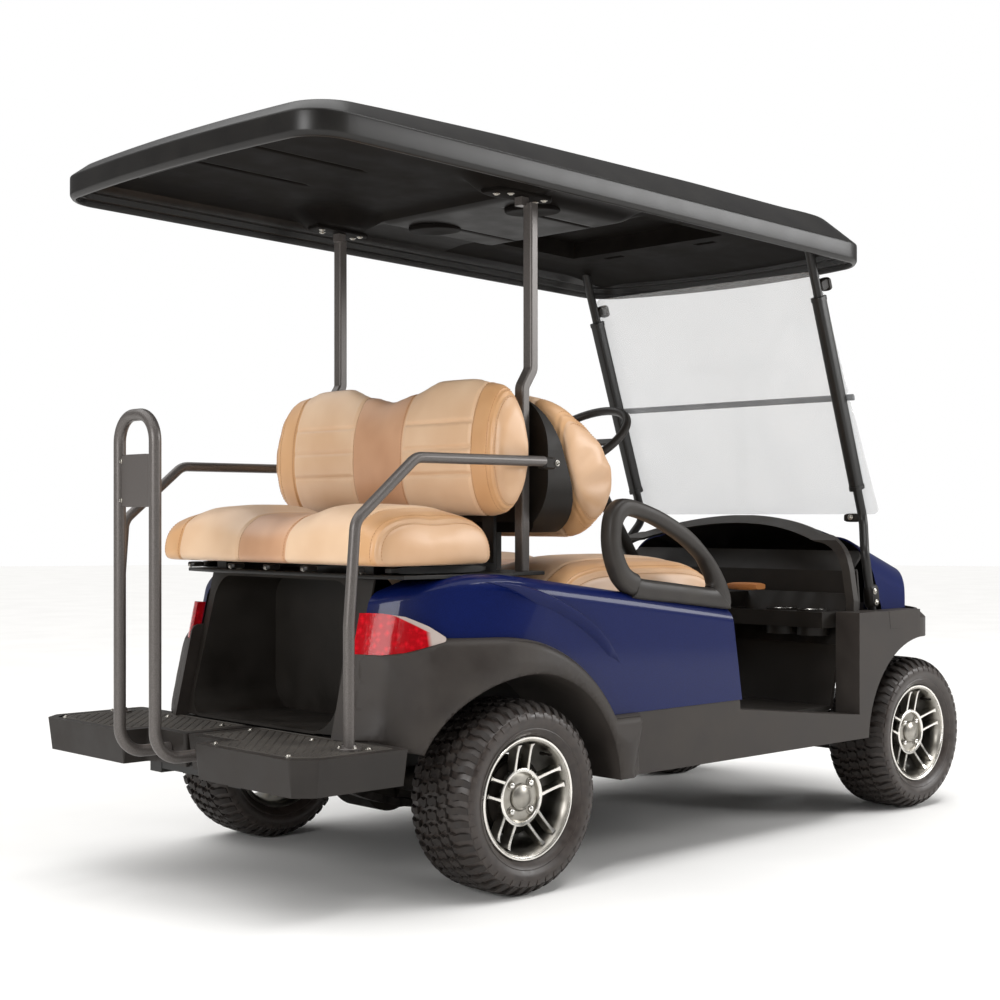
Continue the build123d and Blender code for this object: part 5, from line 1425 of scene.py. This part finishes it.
class GOLFCART_OT_rails(bpy.types.Operator):
    """Adds the blank plate on the grab bar, rail flanges and clamps, and the rear bench's hinges."""
    bl_idname = "golfcart.rails"
    bl_label = "Rail fittings"

    def execute(self, context):
        form = Build()
        x = (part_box("grab_bar")[0].x - AXLE_X) / MM + 14        # the bar's own middle
        half_wide, half_tall, plate_z = 79, 60, 957
        rings = []
        for inset, depth in ((4, -3.6), (1, -3.6), (0, -2.6), (0, 2.6), (1, 3.6), (4, 3.6)):
            ring = []
            for k in range(32):
                u, v = squared(TURN * (k + 0.5) / 32, 0.3)
                ring.append(at(x + depth, (half_wide - inset) * u, plate_z + (half_tall - inset) * v))
            rings.append(ring)
        form.grid(rings, caps=True)
        for y in (-66, 66):
            for z in (plate_z - 45, plate_z + 45):
                bolt(form, x - 3.4, y, z, (-1, 0, 0), 4.5, 1)
        foot_x, rail_y = -452, 474
        for s in (-1, 1):
            foot = upright(foot_x, s * rail_y, 372.4)
            form.lathe([(27, 0), (27, 4), (26, 5), (18, 5.4), (17, 9), (15.6, 12), (15.6, 0)], foot, 32)
            for k in range(3):
                a = k * 2.094 + 0.5
                bolt(form, foot_x + 21.5 * math.cos(a), s * rail_y + 21.5 * math.sin(a), 377, (0, 0, 1), 3.2, 1)
            soft_block(form, (150, s * rail_y, 1004), (44, 30, 30), 2)
            bolt(form, 170, s * 489.6, 1004, (0, s, 0), 5, 1)
        form.make("rail_fittings", ["Bronze_Powder_Coated_Steel", "Zinc_Plated_Fastener",
                                    "Grained_Black_Polypropylene"], "tube_coat")
        form = Build()
        for y in (-330, -150, 0, 150, 330):
            soft_block(form, (-318, y, 754), (40, 26, 14))
            bolt(form, -334, y, 752, (-1, 0, 0), 4, 1)
        for y in (-380, 380):
            soft_block(form, (-120, y, 752), (300, 34, 18), edge=0.1)
        form.make("rear_bench_hinges", ["Black_Powder_Coated_Steel", "Zinc_Plated_Fastener"], "tube_coat")
        return {"FINISHED"}


class GOLFCART_OT_lamps(bpy.types.Operator):
    """Adds the headlamps' reflectors and bulbs."""
    bl_idname = "golfcart.lamps"
    bl_label = "Lamps"

    def execute(self, context):
        form = Build()
        for s in (-1, 1):
            for y in (318, 372):
                cup = upright(1776 - (y - 318) * 0.2, s * y, 647, (1, 0, 0))
                form.lathe([(23, 6), (22, 4), (14, -14), (5, -20), (0.5, -20)], cup, 32)
                form.lathe([(5, -18), (5, -8), (3, -3), (0.5, -2)], cup, 20, mark=1)
        form.make("headlamp_reflectors", ["Chromed_Steel", "Machined_Aluminium_Alloy"], "lamp_clear",
                  smooth=40)
        return {"FINISHED"}


class GOLFCART_OT_dash(bpy.types.Operator):
    """Adds the dash's cup rims, tray liner, switches and key."""
    bl_idname = "golfcart.dash"
    bl_label = "Dash fittings"

    def execute(self, context):
        form = Build()
        for y in (-400, -290, 150, 400):
            cup = upright(1322, y, 600.4)
            form.lathe([(33, -3), (37.5, -1), (39, 1.6), (38, 3.4), (35, 3.6), (33, 1.6)], cup, 48, closed=True)
        form.make("cup_rims", ["Machined_Aluminium_Alloy"], "black_moulding", smooth=40)
        form = Build()
        soft_block(form, (1300, -172, 666), (60, 112, 22))
        for y in (-20, 20, 60):
            soft_block(form, (1247, y, 622), (12, 24, 30), 1, 0.1)
        key = upright(1249, -60, 622, (-1, 0, 0.1))
        form.lathe([(15, 0), (15, 4), (13, 6), (9, 6.4), (8, 4.5), (0.5, 4.5)], key, 32, mark=2)
        form.make("dash_switches", ["Caramel_Tray_Liner", "Grained_Black_Polypropylene",
                                    "Zinc_Plated_Fastener"], "black_moulding", smooth=40)
        return {"FINISHED"}


class GOLFCART_OT_stage(bpy.types.Operator):
    """Sets the pale floor, soft lights and camera."""
    bl_idname = "golfcart.stage"
    bl_label = "Studio"

    def execute(self, context):
        scene = context.scene
        tree = begin("Matt_White_Floor_Paint")
        where = add(tree, "TexCoord")
        colour, dull = mottle(tree, where, 400, "#F1F0EE", "#F5F4F2", (0.85, 0.95), 2.0)
        close(tree, [("Base Color", colour, "Color"), ("Roughness", dull, "Result")],
              [("IOR", 1.45), ("Specular IOR Level", 0.0)])
        reach, sides = 26, 64                   # radius in metres
        mesh = bpy.data.meshes.new("studio_floor")
        mesh.from_pydata([(math.cos(TURN * k / sides) * reach, math.sin(TURN * k / sides) * reach, 0)
                          for k in range(sides)], [], [tuple(range(sides))])
        mesh.materials.append(FINISHES["Matt_White_Floor_Paint"])
        floor = bpy.data.objects.new("studio_floor", mesh)
        scene.collection.objects.link(floor)

        world = bpy.data.worlds.new("Studio_Air")
        world.use_nodes = True
        air = world.node_tree
        seen = add(air, "LightPath")
        level = add(air, "MapRange", [("Value", seen, "Is Camera Ray")], [("To Min", 0.24), ("To Max", 1.0)])
        sky = air.nodes["Background"]
        sky.inputs["Color"].default_value = (1.0, 1.0, 1.0, 1.0)
        air.links.new(level.outputs["Result"], sky.inputs["Strength"])
        scene.world = world
        scene.view_settings.view_transform = "Standard"

        sun = bpy.data.lights.new("Ceiling_Glow", "SUN")
        sun.energy = 2.7
        sun.angle = math.radians(84)
        glow = bpy.data.objects.new("Ceiling_Glow", sun)
        glow.rotation_euler = (math.radians(-14), math.radians(-8), 0)
        scene.collection.objects.link(glow)
        for name, spot, aim, size, power in (
                ("Side_Softbox", (4.6, -4.6, 2.9), (0.4, -0.4, 1.2), (3.2, 2.0), 220),
                ("Camera_Softbox", (-5.8, -1.4, 2.2), (-0.4, 0, 0.9), (1.8, 1.8), 130),
                ("Shoulder_Strip", (0.4, -2.1, 4.2), (-0.2, -0.5, 0.6), (3.8, 0.3), 50)):
            lamp = bpy.data.lights.new(name, "AREA")
            lamp.shape = "RECTANGLE"
            lamp.size, lamp.size_y = size
            lamp.energy = power
            light = bpy.data.objects.new(name, lamp)
            light.location = spot
            light.rotation_euler = (Vector(aim) - Vector(spot)).to_track_quat("-Z", "Y").to_euler()
            light.visible_camera = False
            scene.collection.objects.link(light)

        # A level camera with a shifted lens keeps the cart's upright lines upright.
        lens = bpy.data.cameras.new("Studio_Camera")
        lens.lens = 59.40
        lens.sensor_width = 36
        lens.shift_y = 0.01667
        lens.clip_end = 200
        camera = bpy.data.objects.new("Studio_Camera", lens)
        camera.location = (-3.2764, -3.2835, 0.8753)
        camera.rotation_euler = (math.radians(90), 0, math.radians(-43.33))
        scene.collection.objects.link(camera)
        scene.camera = camera
        return {"FINISHED"}


STEPS = (GOLFCART_OT_stage, GOLFCART_OT_finishes, GOLFCART_OT_tyres, GOLFCART_OT_wheels, GOLFCART_OT_roof,
         GOLFCART_OT_screen, GOLFCART_OT_armrests, GOLFCART_OT_body_trim, GOLFCART_OT_covers,
         GOLFCART_OT_fenders, GOLFCART_OT_footrest, GOLFCART_OT_rails, GOLFCART_OT_lamps, GOLFCART_OT_dash,
         GOLFCART_OT_rear_seat, GOLFCART_OT_front_seat)


class GOLFCART_PT_dresser(bpy.types.Panel):
    """Lists the cart's colours, sizes and building steps."""
    bl_label = "Golf Cart"
    bl_space_type = "VIEW_3D"
    bl_region_type = "UI"
    bl_category = "Golf Cart"

    def draw(self, context):
        layout = self.layout
        for group in (context.scene.golf_cart_colours, context.scene.golf_cart_sizes):
            for name in group.bl_rna.properties.keys():
                if name not in ("rna_type", "name"):
                    layout.prop(group, name)
        for step in STEPS:
            layout.operator(step.bl_idname)


CLASSES = (GolfCartColours, GolfCartSizes, *STEPS, GOLFCART_PT_dresser)


def register():
    for item in CLASSES:
        bpy.utils.register_class(item)
    bpy.types.Scene.golf_cart_colours = bpy.props.PointerProperty(type=GolfCartColours)
    bpy.types.Scene.golf_cart_sizes = bpy.props.PointerProperty(type=GolfCartSizes)


def unregister():
    del bpy.types.Scene.golf_cart_sizes
    del bpy.types.Scene.golf_cart_colours
    for item in reversed(CLASSES):
        bpy.utils.unregister_class(item)


def main():
    """Runs every step in order."""
    register()
    for step in STEPS:
        group, name = step.bl_idname.split(".")
        getattr(getattr(bpy.ops, group), name)()


if __name__ == "__main__":
    main()
